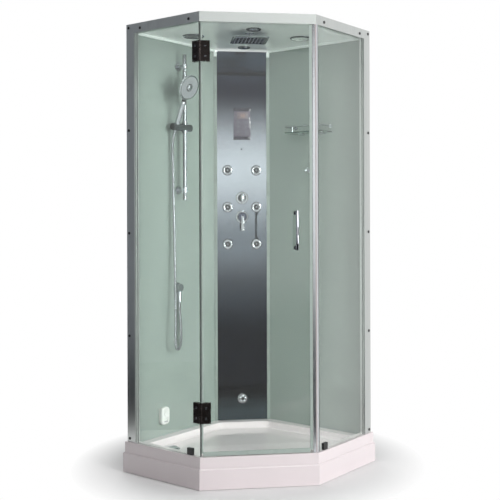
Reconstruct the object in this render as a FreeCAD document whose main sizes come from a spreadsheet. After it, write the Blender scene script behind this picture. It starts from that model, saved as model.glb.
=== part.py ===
"""Corner steam shower cabin: a five-sided tray, two glass walls, a framed front with a hinged
glass door, and a mirror column that carries the jets, the valves and the touch panel.

Millimetres, +Z up. The origin is under the middle of the cabin, on the floor, and the door
faces -Y. The cabin's right-angled corner points to +Y, against the two room walls.
"""
import FreeCAD, Part
import math
import os
import Sketcher
from FreeCAD import Placement, Rotation, Vector

# Driving dimensions, in millimetres and degrees
SIZES = {
    # Tray
    "tray_side": 900.0,
    "tray_return": 505.0,
    "tray_height": 150.0,
    "skirt_gap": 2.0,
    "skirt_band": 52.0,
    "skirt_step": 7.0,
    "skirt_slope": 5.0,
    "tray_wall": 6.0,
    "rim_width": 52.0,
    "rim_round": 3.0,
    "upstand_width": 15.5,
    "ledge_drop": 20.0,
    "ledge_reach": 45.0,
    "basin_drop": 53.0,
    "basin_round": 60.0,
    "basin_foot_round": 12.0,
    "basin_draft": 8.0,
    # Waste
    "waste_from_wall": 146.5,
    "waste_from_return": 180.7,
    "waste_hole": 80.0,
    "waste_cover_width": 92.0,
    "waste_cover_height": 6.0,
    "waste_spigot": 60.0,
    "waste_spigot_depth": 9.0,
    "trap_width": 104.0,
    "trap_height": 50.0,
    "trap_flange_height": 5.0,
    "waste_pipe": 40.0,
    "waste_pipe_wall": 2.0,
    "waste_pipe_foot": 4.0,
    # Tray frame and feet
    "beam_height": 30.0,
    "beam_width": 30.0,
    "beam_wall": 2.0,
    "beam_spread": 190.0,
    "beam_front_gap": 53.5,
    "foot_width": 50.0,
    "foot_height": 12.0,
    "stem_width": 12.0,
    "nut_width": 22.0,
    "nut_height": 8.0,
    # Frame of the cabin
    "total_height": 2200.0,
    "frame_inset": 16.0,
    "upright_width": 54.0,
    "upright_depth": 32.0,
    "profile_wall": 2.0,
    "glass_thickness": 6.0,
    "glass_set_back": 4.0,
    "groove_depth": 12.0,
    "rail_height": 46.0,
    "rail_depth": 30.0,
    "cap_width": 14.0,
    "cap_height": 3.5,
    # Roof and walls
    "roof_drop": 28.0,
    "roof_thickness": 5.0,
    "trim_height": 12.0,
    "trim_depth": 9.0,
    "column_joint": 14.2,
    "column_half_width": 137.0,
    "column_profile_width": 17.0,
    "column_profile_height": 6.0,
    "column_thickness": 8.0,
    "column_top_gap": 7.0,
    "column_lap": 5.0,
    "roof_flange": 6.0,
    "fan_x": 280.0,
    "fan_from_front": 446.0,
    "fan_width": 107.0,
    "ring_light_x": 268.0,
    "ring_light_from_front": 431.0,
    "ring_light_width": 106.0,
    "downlight_x": 4.0,
    "front_downlight_from_front": 244.0,
    "front_downlight_width": 72.0,
    "rear_downlight_from_front": 711.0,
    "rear_downlight_width": 66.0,
    # Jets and valves
    "jet_spread": 79.5,
    "mixer_drop": 948.5,
    "diverter_rise": 104.5,
    "top_jet_rise": 257.5,
    "middle_jet_rise": 53.5,
    "low_jet_fall": 150.5,
    "foot_jet_height": 248.0,
    "jet_sleeve_width": 42.0,
    "valve_stem_width": 30.0,
    # Door, hinges and handle
    "corner_gap": 7.0,
    "clip_from_corner": 68.0,
    "clip_width": 33.0,
    "clip_height": 32.0,
    "clip_thickness": 5.0,
    "strike_width": 18.0,
    "strike_depth": 14.0,
    "strike_lap": 12.0,
    "door_gap": 1.5,
    "door_foot_gap": 15.0,
    "door_top_gap": 4.0,
    "magnet_width": 7.0,
    "seal_lip": 1.0,
    "seal_lap": 6.0,
    "seal_foot_gap": 3.0,
    "hinge_seal_width": 5.5,
    "low_hinge_foot": 303.0,
    "high_hinge_drop": 230.0,
    "hinge_height": 96.0,
    "fixed_leaf_width": 43.0,
    "door_leaf_width": 48.0,
    "leaf_thickness": 7.0,
    "inner_leaf_thickness": 4.0,
    "inner_leaf_gap": 12.0,
    "knuckle_width": 14.0,
    "knuckle_web": 3.0,
    "hinge_pin": 7.0,
    "hinge_bolt": 10.0,
    "running_fit": 0.05,
    "handle_x": 174.0,
    "handle_height": 1190.0,
    "handle_length": 182.0,
    "handle_mounts": 162.0,
    "handle_bar_width": 14.0,
    "handle_post_width": 12.0,
    "handle_standoff": 47.5,
    "handle_bow": 8.0,
    "handle_bolt": 8.0,
    "handle_nut_width": 18.0,
    "handle_nut_height": 6.0,
    "cap_from_corner": 16.0,
    "low_cap_height": 166.0,
    "top_cap_drop": 17.0,
    "rail_cap_drop": 26.0,
    "near_rail_cap": 95.0,
    "far_rail_cap": 415.0,
    # Fan and lamps
    "fan_wall": 2.2,
    "fan_lip": 4.0,
    "fan_height": 24.0,
    "fan_shaft": 5.0,
    "fan_motor": 28.0,
    "fan_hub": 30.0,
    "vane_foot": 2.0,
    "vane_height": 9.0,
    "vane_thickness": 1.5,
    "fan_tip_gap": 1.5,
    "grille_bar": 3.0,
    "lamp_lip": 5.0,
    "lamp_rim": 9.0,
    "lamp_can_height": 14.0,
    # Overhead shower
    "head_x": 5.0,
    "head_from_front": 346.0,
    "head_width": 180.0,
    "head_thickness": 8.0,
    "head_round": 8.0,
    "head_border": 10.0,
    "face_recess_depth": 1.0,
    "ball_drop": 22.0,
    "stem_ball": 14.0,
    "stem_neck": 9.0,
    "stem_flange": 44.0,
    "stem_flange_height": 4.0,
    "collar_wall": 5.0,
    "collar_rise": 3.0,
    # Touch panel
    "display_x": 1.5,
    "display_drop": 434.5,
    "display_width": 95.0,
    "display_height": 176.0,
    "display_depth": 8.0,
    "display_border": 8.0,
    "display_round": 6.0,
    "screen_recess_depth": 2.0,
    "screen_thickness": 1.5,
    # Jet and valve details
    "jet_ring_width": 55.0,
    "jet_ring_height": 6.0,
    "jet_lip_width": 27.2,
    "jet_wall": 2.0,
    "jet_sleeve_depth": 24.0,
    "jet_ball_width": 33.0,
    "jet_ball_sink": 6.0,
    "jet_ball_front": 14.0,
    "jet_ball_rear": 10.0,
    "jet_hole_width": 9.0,
    "jet_hole_depth": 3.0,
    "rose_width": 70.0,
    "rose_height": 7.0,
    "spigot_depth": 14.0,
    "spindle_width": 10.0,
    "spindle_height": 15.0,
    "diverter_width": 44.0,
    "diverter_depth": 20.0,
    "grip_width": 8.0,
    "grip_depth": 9.0,
    "mixer_cap_width": 48.0,
    "mixer_cap_height": 23.0,
    "lever_width": 14.0,
    "lever_length": 76.5,
    "lever_thickness": 7.0,
    "lever_hub_width": 14.0,
    "lever_back_gap": 1.0,
    "lever_pin_width": 5.0,
    "ear_thickness": 4.0,
    # Behind the column
    "manifold_width": 60.0,
    "manifold_depth": 34.0,
    "manifold_overlap": 50.0,
    "inlet_spread": 40.0,
    "inlet_width": 20.9,
    "inlet_length": 18.0,
    "generator_width": 152.0,
    "generator_depth": 52.0,
    "generator_height": 300.0,
    "generator_foot": 480.0,
    # Left wall fittings
    "outlet_box_along": 238.0,
    "outlet_box_up": 235.0,
    "outlet_box_width": 60.0,
    "outlet_box_height": 90.0,
    "outlet_box_depth": 24.0,
    "outlet_box_round": 9.0,
    "outlet_corner_round": 22.0,
    "outlet_slot": 5.0,
    "slide_along": 355.0,
    "slide_out": 60.0,
    "slide_width": 20.0,
    "slide_foot_drop": 860.0,
    "slide_top_drop": 102.0,
    "low_bracket_drop": 807.0,
    "high_bracket_drop": 162.0,
    "bracket_width": 18.0,
    "bracket_foot_width": 42.0,
    "bracket_foot_depth": 6.0,
    "bracket_wall": 4.0,
    "bracket_collar_height": 22.0,
    "slider_drop": 483.0,
    "barrel_width": 39.0,
    "slider_length": 86.0,
    "slider_wall": 5.0,
    "slider_collar_height": 56.0,
    "stub_width": 12.0,
    "stub_length": 5.0,
    "holder_from_rail": 63.0,
    "holder_length": 37.0,
    "knob_step": 2.0,
    "knob_length": 9.0,
    "cone_width": 22.0,
    "cone_slope": 0.08,
    "handset_tail": 28.0,
    "handset_reach": 214.0,
    "handle_grip_width": 27.0,
    "hose_nut_width": 16.0,
    "spray_width": 130.0,
    "spray_back": 14.0,
    "spray_front": 12.0,
    "spray_border": 7.0,
    "spray_recess": 2.5,
    "spray_knob_width": 24.0,
    "elbow_along": 345.0,
    "elbow_height": 883.0,
    "elbow_out": 28.0,
    "elbow_width": 40.0,
    "elbow_rose_width": 54.0,
    "elbow_rose_depth": 5.0,
    "elbow_nut_width": 20.0,
    "elbow_cap": 2.0,
    "elbow_nut_foot": 812.0,
    "hose_width": 14.0,
    # Right wall fittings
    "shelf_along": 226.0,
    "shelf_length": 240.0,
    "shelf_back_gap": 2.0,
    "shelf_depth": 105.0,
    "shelf_height": 1695.0,
    "shelf_thickness": 6.0,
    "shelf_round": 18.0,
    "gallery_width": 6.0,
    "gallery_inset": 9.0,
    "gallery_height": 28.0,
    "near_bracket": 280.0,
    "far_bracket": 412.0,
    "clamp_width": 22.0,
    "clamp_reach": 24.0,
    "clamp_wall": 6.0,
    "hook_along": 377.0,
    "hook_height": 1500.0,
    "hook_rose_width": 30.0,
    "hook_rose_depth": 5.0,
    "hook_stem_width": 9.0,
    "hook_knob_width": 18.0,
    "hook_depth": 36.0,
    # Fits
    "fit_gap": 0.3,
    "trap_bore_gap": 4.0,
    "beam_back_gap": 80.0,
}


class Size:
    """A size as a number and as the expression that gives it from the sheet."""

    def __init__(self, value, text):
        self.value = value
        self.text = text

    def __add__(self, other):
        other = as_size(other)
        return Size(self.value + other.value, f"({self.text} + {other.text})")

    def __sub__(self, other):
        other = as_size(other)
        return Size(self.value - other.value, f"({self.text} - {other.text})")

    def __mul__(self, other):
        other = as_size(other)
        return Size(self.value * other.value, f"({self.text} * {other.text})")

    def __truediv__(self, other):
        other = as_size(other)
        return Size(self.value / other.value, f"({self.text} / {other.text})")

    def __neg__(self):
        return Size(-self.value, f"(-1 * {self.text})")

    __radd__ = __add__
    __rmul__ = __mul__


def as_size(thing):
    """A plain number as a Size; a Size stays as it is."""
    return thing if isinstance(thing, Size) else Size(float(thing), repr(float(thing)))


doc = FreeCAD.newDocument("ShowerCabin")
sheet = doc.addObject("Spreadsheet::Sheet", "Sizes")
size = {}
for row, (word, number) in enumerate(SIZES.items(), start=1):
    sheet.set(f"A{row}", word)
    sheet.set(f"B{row}", str(number))
    sheet.setAlias(f"B{row}", word)
    size[word] = Size(number, f"Sizes.{word}")
doc.recompute()

ZERO = as_size(0)
NEAR = 0.01  # how close two places are when they are the same
ROOT_2 = Size(math.sqrt(2), "sqrt(2)")
HALF_CORNER = ROOT_2 - 1  # tangent of 22.5 degrees, half of what the front turns at a corner


def S(word):
    """A driving dimension by its name."""
    return size[word]


def bind(thing, path, value):
    """Tie one property of an object to a size."""
    thing.setExpression(path, as_size(value).text)


def place(thing, point, rotation=None):
    """Put an object at a point that follows the sheet."""
    point = [as_size(part) for part in point]
    turn = rotation or Rotation()
    thing.Placement = Placement(Vector(*[part.value for part in point]), turn)
    for axis, part in zip("xyz", point):
        bind(thing, f"Placement.Base.{axis}", part)


def aim(direction):
    """The rotation that turns +Z to a direction."""
    return Rotation(Vector(0, 0, 1), Vector(*direction))


def new_body(label, point=None, rotation=None):
    """An empty body with its label and its place."""
    body = doc.addObject("PartDesign::Body", label)
    body.Label = label
    if point:
        place(body, point, rotation)
    return body


def new_sketch(body, name, height=ZERO, plane="XY_Plane"):
    """A sketch on one of the body's own planes, raised by a height."""
    sketch = body.newObject("Sketcher::SketchObject", name)
    support = [item for item in body.Origin.OriginFeatures if item.Role == plane][0]
    sketch.AttachmentSupport = [(support, "")]
    sketch.MapMode = "FlatFace"
    sketch.AttachmentOffset = Placement(Vector(0, 0, as_size(height).value), Rotation())
    bind(sketch, "AttachmentOffset.Base.z", height)
    return sketch


def pin_point(sketch, index, end, point):
    """Hold one point of a sketch at its distances from the origin."""
    for kind, part in zip(("DistanceX", "DistanceY"), point):
        part = as_size(part)
        number = sketch.addConstraint(Sketcher.Constraint(kind, -1, 1, index, end, part.value))
        bind(sketch, f"Constraints[{number}]", part)


def draw_outline(sketch, points):
    """A closed outline of straight lines through points."""
    values = [Vector(as_size(x).value, as_size(y).value, 0) for x, y in points]
    first = sketch.GeometryCount
    count = len(points)
    for index in range(count):
        line = Part.LineSegment(values[index], values[(index + 1) % count])
        sketch.addGeometry(line, False)
    for index in range(count):
        after = first + (index + 1) % count
        sketch.addConstraint(Sketcher.Constraint("Coincident", first + index, 2, after, 1))
    for index, point in enumerate(points):
        pin_point(sketch, first + index, 1, point)


def draw_circle(sketch, centre, radius):
    """A circle round a point."""
    x, y, radius = (as_size(part) for part in (*centre, radius))
    ring = Part.Circle(Vector(x.value, y.value, 0), Vector(0, 0, 1), radius.value)
    index = sketch.addGeometry(ring, False)
    number = sketch.addConstraint(Sketcher.Constraint("Radius", index, radius.value))
    bind(sketch, f"Constraints[{number}]", radius)
    pin_point(sketch, index, 3, (x, y))


def add_feature(body, kind, name, sketch, length, draft=None, downward=False):
    """A pad or a pocket of a sketch."""
    feature = body.newObject(f"PartDesign::{kind}", name)
    feature.Profile = sketch
    feature.Length = as_size(length).value
    feature.Reversed = downward
    bind(feature, "Length", length)
    if draft is not None:
        feature.TaperAngle = as_size(draft).value
        bind(feature, "TaperAngle", draft)
    sketch.Visibility = False
    return feature


def pad_outline(body, name, points, low, high, draft=None):
    """Add the prism over an outline between two heights."""
    sketch = new_sketch(body, f"{name}_sketch", low)
    draw_outline(sketch, points)
    return add_feature(body, "Pad", name, sketch, as_size(high) - low, draft)


def pocket_outline(body, name, points, low, high, draft=None):
    """Cut the prism over an outline between two heights, downward from the upper one."""
    sketch = new_sketch(body, f"{name}_sketch", high)
    draw_outline(sketch, points)
    return add_feature(body, "Pocket", name, sketch, as_size(high) - low, draft)


def pocket_circles(body, name, centres, radius, low, high):
    """Cut round holes between two heights, downward from the upper one."""
    sketch = new_sketch(body, f"{name}_sketch", high)
    for centre in centres:
        draw_circle(sketch, centre, radius)
    return add_feature(body, "Pocket", name, sketch, as_size(high) - low)


def edges_where(feature, test):
    """Names of the edges of a feature whose ends and middle pass a test."""
    doc.recompute()
    names = []
    for index, edge in enumerate(feature.Shape.Edges, start=1):
        middle = edge.valueAt((edge.FirstParameter + edge.LastParameter) / 2)
        spots = [vertex.Point for vertex in edge.Vertexes] + [middle]
        if all(test(spot) for spot in spots):
            names.append(f"Edge{index}")
    return names


def ease_edges(body, kind, name, base, amount, test):
    """Fillet or chamfer the edges of a feature that pass a test."""
    feature = body.newObject(f"PartDesign::{kind}", name)
    names = edges_where(base, test)
    feature.Base = (base, names)
    path = "Radius" if kind == "Fillet" else "Size"
    setattr(feature, path, as_size(amount).value)
    bind(feature, path, amount)
    return feature


def corner_test(edge_x, edge_z):
    """A test for the edges along Y at the corners of an upright plate."""
    def at_corner(spot):
        near_x = min(abs(spot.x - x.value) for x in edge_x)
        near_z = min(abs(spot.z - z.value) for z in edge_z)
        return near_x < NEAR and near_z < NEAR

    return at_corner


def turned_body(label, profile, point, direction):
    """A body turned about its own axis, from points given as (radius, along the axis)."""
    body = new_body(label, point, aim(direction))
    add_turning(body, f"{label}_turning", profile)
    return body


def add_turning(body, name, profile):
    """Turn an outline of (radius, height) points about the body's own Z axis."""
    sketch = new_sketch(body, f"{name}_sketch", plane="XZ_Plane")
    draw_outline(sketch, profile)
    turning = body.newObject("PartDesign::Revolution", name)
    turning.Profile = sketch
    turning.ReferenceAxis = (sketch, ["V_Axis"])
    turning.Angle = 360
    return turning


def new_box(name, length, width, height, point, rotation=None):
    """A box from its lowest corner."""
    thing = doc.addObject("Part::Box", name)
    for path, value in zip(("Length", "Width", "Height"), (length, width, height)):
        bind(thing, path, value)
    place(thing, point, rotation)
    return thing


def new_cylinder(name, radius, height, point, direction=(0, 0, 1)):
    """A cylinder from the middle of its base, along a direction."""
    thing = doc.addObject("Part::Cylinder", name)
    bind(thing, "Radius", radius)
    bind(thing, "Height", height)
    place(thing, point, aim(direction))
    return thing


def fused(label, things):
    """One object from several that touch or overlap, or a set of separate ones."""
    joined = doc.addObject("Part::MultiFuse", label)
    joined.Label = label
    joined.Shapes = things
    joined.Refine = True
    return joined


def cut_away(label, base, tools):
    """One object less the others."""
    tool = tools[0] if len(tools) == 1 else fused(f"{label}_tools", tools)
    less = doc.addObject("Part::Cut", label)
    less.Label = label
    less.Base = base
    less.Tool = tool
    less.Refine = True
    return less


def add_solid(label, shape):
    """A form that neither a body nor a primitive fits."""
    thing = doc.addObject("Part::Feature", label)
    thing.Label = label
    thing.Shape = shape
    return thing


# The plan of the cabin, as offsets inward from the tray's lower edge. The handle reaches out
# past the tray's front, and the origin is in the middle of the whole depth.
GLASS_OUT = S("glass_set_back")
GLASS_IN = S("glass_set_back") + S("glass_thickness")
HANDLE_OUT = S("handle_standoff") + S("handle_bar_width") / 2
HANDLE_BEYOND = HANDLE_OUT - S("frame_inset") - GLASS_OUT
HALF_SPAN = S("tray_side") / ROOT_2
RETURN_REACH = S("tray_return") / ROOT_2
Y_BACK = (HALF_SPAN + RETURN_REACH + HANDLE_BEYOND) / 2
Y_ENDS = Y_BACK - HALF_SPAN
Y_FRONT = Y_ENDS - RETURN_REACH
HALF_FRONT = (S("tray_side") - S("tray_return")) / ROOT_2


def end_corner(from_wall, from_return):
    """Where a wall side and a return side meet, on the right, at two offsets."""
    return (HALF_SPAN - (as_size(from_wall) + from_return) / ROOT_2,
            Y_ENDS + (as_size(from_return) - from_wall) / ROOT_2)


def front_corner(offset):
    """Where the front and the right return meet."""
    return (HALF_FRONT - offset * HALF_CORNER, Y_FRONT + offset)


def back_corner(offset):
    """Where the two walls meet."""
    return (ZERO, Y_BACK - offset * ROOT_2)


def mirrored(point):
    """The same point on the left."""
    return (-point[0], point[1])


def five_sides(from_wall, from_return):
    """The five-sided plan at an offset from the walls and another from the front sides."""
    wall = as_size(from_wall)
    front = as_size(from_return)
    end = end_corner(wall, front)
    near = front_corner(front)
    return [back_corner(wall), mirrored(end), mirrored(near), near, end]


class Side:
    """One of the four slanted sides: `along` from its corner post, `inward` from the frame."""

    def __init__(self, flip, is_wall):
        self.flip = flip
        self.is_wall = is_wall
        self.rotation = Rotation(Vector(0, 0, 1), flip * (45 if is_wall else -45))

    def point(self, along, inward, up):
        """A point in the part's frame."""
        along, inward = as_size(along), as_size(inward)
        corner = S("frame_inset") * ROOT_2 - HALF_SPAN
        across = along - inward if self.is_wall else inward - along
        return ((corner + (along + inward) / ROOT_2) * self.flip, Y_ENDS + across / ROOT_2, up)

    def direction(self, along, inward, up):
        """A direction in the part's frame."""
        across = along - inward if self.is_wall else inward - along
        return (self.flip * (along + inward) / math.sqrt(2), across / math.sqrt(2), up)

    def local(self, along, inward):
        """The same place in the plan of a body that stands on this side."""
        return (as_size(along) * self.flip, -as_size(inward) if self.is_wall else inward)

    def new_body(self, label):
        """A body whose origin is this side's corner."""
        return new_body(label, self.point(ZERO, ZERO, ZERO), self.rotation)

    def new_box(self, name, along, inward, up):
        """A box between two places along, inward and up."""
        start = along[0] if self.flip > 0 else along[1]
        back = inward[1] if self.is_wall else inward[0]
        spans = [as_size(high) - low for low, high in (along, inward, up)]
        return new_box(name, *spans, self.point(start, back, up[0]), self.rotation)


LEFT_WALL = Side(1, True)
RIGHT_WALL = Side(-1, True)
LEFT_RETURN = Side(1, False)
RIGHT_RETURN = Side(-1, False)
nodes = []

# Heights that many pieces share
RIM = S("tray_height")
LEDGE = RIM - S("ledge_drop")
BASIN_FLOOR = RIM - S("basin_drop")
BASIN_UNDER = BASIN_FLOOR - S("tray_wall")
TOTAL = S("total_height")
RAIL_FOOT = TOTAL - S("rail_height")
ROOF_UNDER = TOTAL - S("roof_drop")
MIXER_UP = TOTAL - S("mixer_drop")
DIVERTER_UP = MIXER_UP + S("diverter_rise")
TOP_JET_UP = MIXER_UP + S("top_jet_rise")
MIDDLE_JET_UP = MIXER_UP + S("middle_jet_rise")
LOW_JET_UP = MIXER_UP - S("low_jet_fall")
WALL_FACE = S("frame_inset") + GLASS_IN
RIM_EDGE = S("skirt_step") + S("rim_width")
RETURN_LENGTH = S("tray_return") - S("frame_inset") * ROOT_2
COLUMN_Y = back_corner(WALL_FACE)[1] - S("column_half_width") - S("column_joint")


# Shower tray: skirt, rim, a ledge along the walls and a drafted basin
def basin_outline(grow):
    """The basin's plan, grown outward by a wall."""
    from_wall = WALL_FACE + S("ledge_reach") - grow
    from_front = RIM_EDGE - grow
    back = COLUMN_Y - S("ledge_reach") + grow
    half_back = back_corner(from_wall)[1] - back
    end = end_corner(from_wall, from_front)
    near = front_corner(from_front)
    return [(-half_back, back), mirrored(end), mirrored(near), near, end, (half_back, back)]


WASTE_X, WASTE_Y = mirrored(end_corner(S("waste_from_wall"), S("waste_from_return")))


def make_tray():
    tray = new_body("shower_tray")
    wall = S("tray_wall")
    inside = S("skirt_step") + wall
    skirt = pad_outline(tray, "skirt", five_sides(ZERO, ZERO), S("skirt_gap"), RIM - S("skirt_band"))
    top = (RIM - S("skirt_band")).value
    ease_edges(tray, "Chamfer", "skirt_slope", skirt, S("skirt_slope"),
               lambda spot: abs(spot.z - top) < NEAR)
    pad_outline(tray, "band", five_sides(S("skirt_step"), S("skirt_step")), S("skirt_gap"), RIM)
    pocket_outline(tray, "underside", five_sides(inside, inside), ZERO, RIM - wall)
    pad_outline(tray, "ledge_block", five_sides(S("skirt_step"), RIM_EDGE - wall), LEDGE - wall,
                RIM - wall)
    pad_outline(tray, "basin_block", basin_outline(wall), BASIN_UNDER, RIM - wall)
    pocket_outline(tray, "ledge", five_sides(S("upstand_width"), RIM_EDGE), LEDGE, RIM)
    basin = pocket_outline(tray, "basin", basin_outline(ZERO), BASIN_FLOOR, RIM,
                           -S("basin_draft"))
    floor = BASIN_FLOOR.value
    doc.recompute()
    corners = []
    for index, edge in enumerate(basin.Shape.Edges, start=1):
        low, high = edge.BoundBox.ZMin, edge.BoundBox.ZMax
        if abs(low - floor) < NEAR and high > floor + NEAR:
            corners.append(f"Edge{index}")
    rounds = tray.newObject("PartDesign::Fillet", "basin_corners")
    rounds.Base = (basin, corners)
    bind(rounds, "Radius", S("basin_round"))
    foot = ease_edges(tray, "Fillet", "basin_foot", rounds, S("basin_foot_round"),
                      lambda spot: abs(spot.z - floor) < NEAR)
    rim = RIM.value
    ease_edges(tray, "Fillet", "rim_edges", foot, S("rim_round"),
               lambda spot: abs(spot.z - rim) < NEAR)
    pocket_circles(tray, "waste_opening", [(WASTE_X, WASTE_Y)], S("waste_hole") / 2,
                   BASIN_UNDER, BASIN_FLOOR)
    return tray


nodes.append(make_tray())


# Waste: a gully clamped through the tray floor, its pipe down, and the cover that lifts out
def make_waste():
    hole = S("waste_hole") / 2 - S("fit_gap")
    bore = S("waste_spigot") / 2 + S("trap_bore_gap")
    under = -S("tray_wall")
    body_foot = under - S("trap_height")
    wide = S("trap_width") / 2
    flange = S("waste_cover_width") / 2 - S("tray_wall") / 2
    lip = S("trap_flange_height")
    point = (WASTE_X, WASTE_Y, BASIN_FLOOR)
    trap = turned_body("trap_bowl", [
        (ZERO, body_foot), (wide, body_foot), (wide, under), (hole, under), (hole, ZERO),
        (flange, ZERO), (flange, lip / 2), (bore, lip / 2), (bore, body_foot + S("tray_wall")),
        (ZERO, body_foot + S("tray_wall"))], point, (0, 0, 1))
    pipe_foot = S("waste_pipe_foot")
    trap_foot = BASIN_FLOOR + body_foot
    pipe = new_cylinder("outlet_pipe", S("waste_pipe") / 2, trap_foot - pipe_foot + S("tray_wall"),
                        (WASTE_X, WASTE_Y, pipe_foot))
    bore_in = new_cylinder("outlet_bore", S("waste_pipe") / 2 - S("waste_pipe_wall"),
                           trap_foot - pipe_foot + S("tray_wall"), (WASTE_X, WASTE_Y, pipe_foot))
    whole = cut_away("waste_trap", fused("trap_and_pipe", [trap, pipe]), [bore_in])
    seat = lip / 2 + S("fit_gap")
    spigot = S("waste_spigot") / 2
    cover = S("waste_cover_width") / 2
    high = seat + S("waste_cover_height")
    lid = turned_body("waste_cover", [
        (ZERO, -S("waste_spigot_depth")), (spigot, -S("waste_spigot_depth")), (spigot, seat),
        (cover, seat), (cover, high - S("waste_cover_height") * 2 / 3), (cover * 5 / 6, high),
        (ZERO, high)], point, (0, 0, 1))
    return [whole, lid]


nodes += make_waste()


# Tray frame: two long beams and a tie under the basin, on five levelling feet
BEAM_X = S("beam_spread")
BEAM_FOOT = BASIN_UNDER - S("beam_height")
BEAM_BACK = basin_outline(S("tray_wall"))[0][1] - S("beam_back_gap")
BEAM_NEAR = Y_FRONT + S("skirt_step") + S("tray_wall") + S("beam_front_gap")
BEAM_LENGTH = BEAM_BACK - BEAM_NEAR


def make_tray_frame():
    wide, wall = S("beam_width"), S("beam_wall")
    tubes, bores = [], []
    for name, side in (("left", -1), ("right", 1)):
        corner = (BEAM_X * side - wide / 2, BEAM_NEAR, BEAM_FOOT)
        tubes.append(new_box(f"{name}_beam", wide, BEAM_LENGTH, S("beam_height"), corner))
        corner = (BEAM_X * side - wide / 2 + wall, BEAM_NEAR, BEAM_FOOT + wall)
        bores.append(new_box(f"{name}_beam_bore", wide - wall * 2, BEAM_LENGTH,
                             S("beam_height") - wall * 2, corner))
    middle = BEAM_NEAR + BEAM_LENGTH / 2
    across = (-BEAM_X + wide / 2, middle - wide / 2, BEAM_FOOT)
    tie = new_box("tie_beam", BEAM_X * 2 - wide, wide, S("beam_height"), across)
    return cut_away("tray_frame", fused("beams", [*tubes, tie]), bores)


def make_feet():
    low, wide = S("foot_height"), S("foot_width") / 2
    stem, nut = S("stem_width") / 2, S("nut_width") / 2
    inset = S("foot_width")
    middle = BEAM_NEAR + BEAM_LENGTH / 2
    places = [(BEAM_X * x, y) for x in (-1, 1)
              for y in (BEAM_NEAR + inset, BEAM_BACK - inset)]
    feet = []
    for number, (x, y) in enumerate([*places, (ZERO, middle)], start=1):
        feet.append(turned_body(f"foot_{number}", [
            (ZERO, ZERO), (wide, ZERO), (wide, low / 2), (stem * 2, low), (stem, low),
            (stem, BEAM_FOOT - S("nut_height")), (nut, BEAM_FOOT - S("nut_height")),
            (nut, BEAM_FOOT), (ZERO, BEAM_FOOT)], (x, y, ZERO), (0, 0, 1)))
    return fused("levelling_feet", feet)


nodes += [make_tray_frame(), make_feet()]


# Uprights: hollow corner posts with a groove for each glass
def make_upright(label, side):
    post = side.new_body(label)
    wide, deep, groove = S("upright_width"), S("upright_depth"), S("groove_depth")
    wall = S("profile_wall")
    outline = [
        (ZERO, ZERO), (wide, ZERO), (wide, GLASS_OUT), (wide - groove, GLASS_OUT),
        (wide - groove, GLASS_IN), (wide, GLASS_IN), (wide, deep), (GLASS_IN, deep),
        (GLASS_IN, deep - groove), (GLASS_OUT, deep - groove), (GLASS_OUT, deep), (ZERO, deep)]
    pad_outline(post, f"{label}_pad", [side.local(*spot) for spot in outline], RIM,
                TOTAL)
    low = GLASS_IN + wall
    hollow = [(low, low), (wide - wall, low), (wide - wall, deep - wall), (low, deep - wall)]
    pocket_outline(post, f"{label}_hollow", [side.local(*spot) for spot in hollow], RIM,
                   TOTAL)
    return post


nodes.append(make_upright("left_upright", LEFT_RETURN))
nodes.append(make_upright("right_upright", RIGHT_RETURN))


# Top rails, mitred over the front corners
def corner_of(side, offset):
    """The front corner at the end of a return, at an offset."""
    spot = front_corner(offset)
    return spot if side.flip < 0 else mirrored(spot)


def return_strip(side, near, far, start):
    """A strip along a return, from a place along it to the mitre at the front corner."""
    inset = S("frame_inset")
    return [side.point(start, near, ZERO)[:2], corner_of(side, inset + near),
            corner_of(side, inset + far), side.point(start, far, ZERO)[:2]]


def make_return_rail(label, side):
    rail = new_body(label)
    start = S("upright_width")
    strip = return_strip(side, ZERO, S("rail_depth"), start)
    pad_outline(rail, f"{label}_pad", strip, RAIL_FOOT, TOTAL)
    groove = return_strip(side, GLASS_OUT, GLASS_IN, start)
    pocket_outline(rail, f"{label}_groove", groove, RAIL_FOOT, RAIL_FOOT + S("groove_depth"))
    return rail


def make_front_rail():
    rail = new_body("front_top_rail")
    outer = front_corner(S("frame_inset"))
    inner = front_corner(S("frame_inset") + S("rail_depth"))
    pad_outline(rail, "front_rail_pad", [mirrored(outer), outer, inner, mirrored(inner)],
                RAIL_FOOT, TOTAL)
    return rail


nodes.append(make_return_rail("left_top_rail", LEFT_RETURN))
nodes.append(make_front_rail())
nodes.append(make_return_rail("right_top_rail", RIGHT_RETURN))


# Roof panel between the rails, with the openings for the fan and the lights
def make_roof():
    roof = new_body("roof_panel")
    inset = S("frame_inset")
    rail_face = inset + S("rail_depth")
    post_face = inset + S("upright_depth")
    post_end = inset + S("upright_width")
    right = [front_corner(rail_face), end_corner(post_end, rail_face),
             end_corner(post_end, post_face), end_corner(inset, post_face)]
    left = [mirrored(spot) for spot in reversed(right)]
    pad_outline(roof, "roof_pad", [back_corner(inset), *left, *right], ROOF_UNDER,
                ROOF_UNDER + S("roof_thickness"))
    for name, spot, width in ROOF_FITTINGS:
        pocket_circles(roof, f"{name}_opening", [spot], width / 2 - S("roof_flange"), ROOF_UNDER,
                       ROOF_UNDER + S("roof_thickness"))
    return roof


ROOF_FITTINGS = [
    ("fan", (-S("fan_x"), Y_FRONT + S("fan_from_front")), S("fan_width")),
    ("ring_light", (S("ring_light_x"), Y_FRONT + S("ring_light_from_front")),
     S("ring_light_width")),
    ("front_downlight", (S("downlight_x"), Y_FRONT + S("front_downlight_from_front")),
     S("front_downlight_width")),
    ("rear_downlight", (S("downlight_x"), Y_FRONT + S("rear_downlight_from_front")),
     S("rear_downlight_width")),
]
nodes.append(make_roof())


# Wall glasses, the mirror column and the white trims
WALL_END = (COLUMN_Y - Y_ENDS) * ROOT_2 + GLASS_IN


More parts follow.
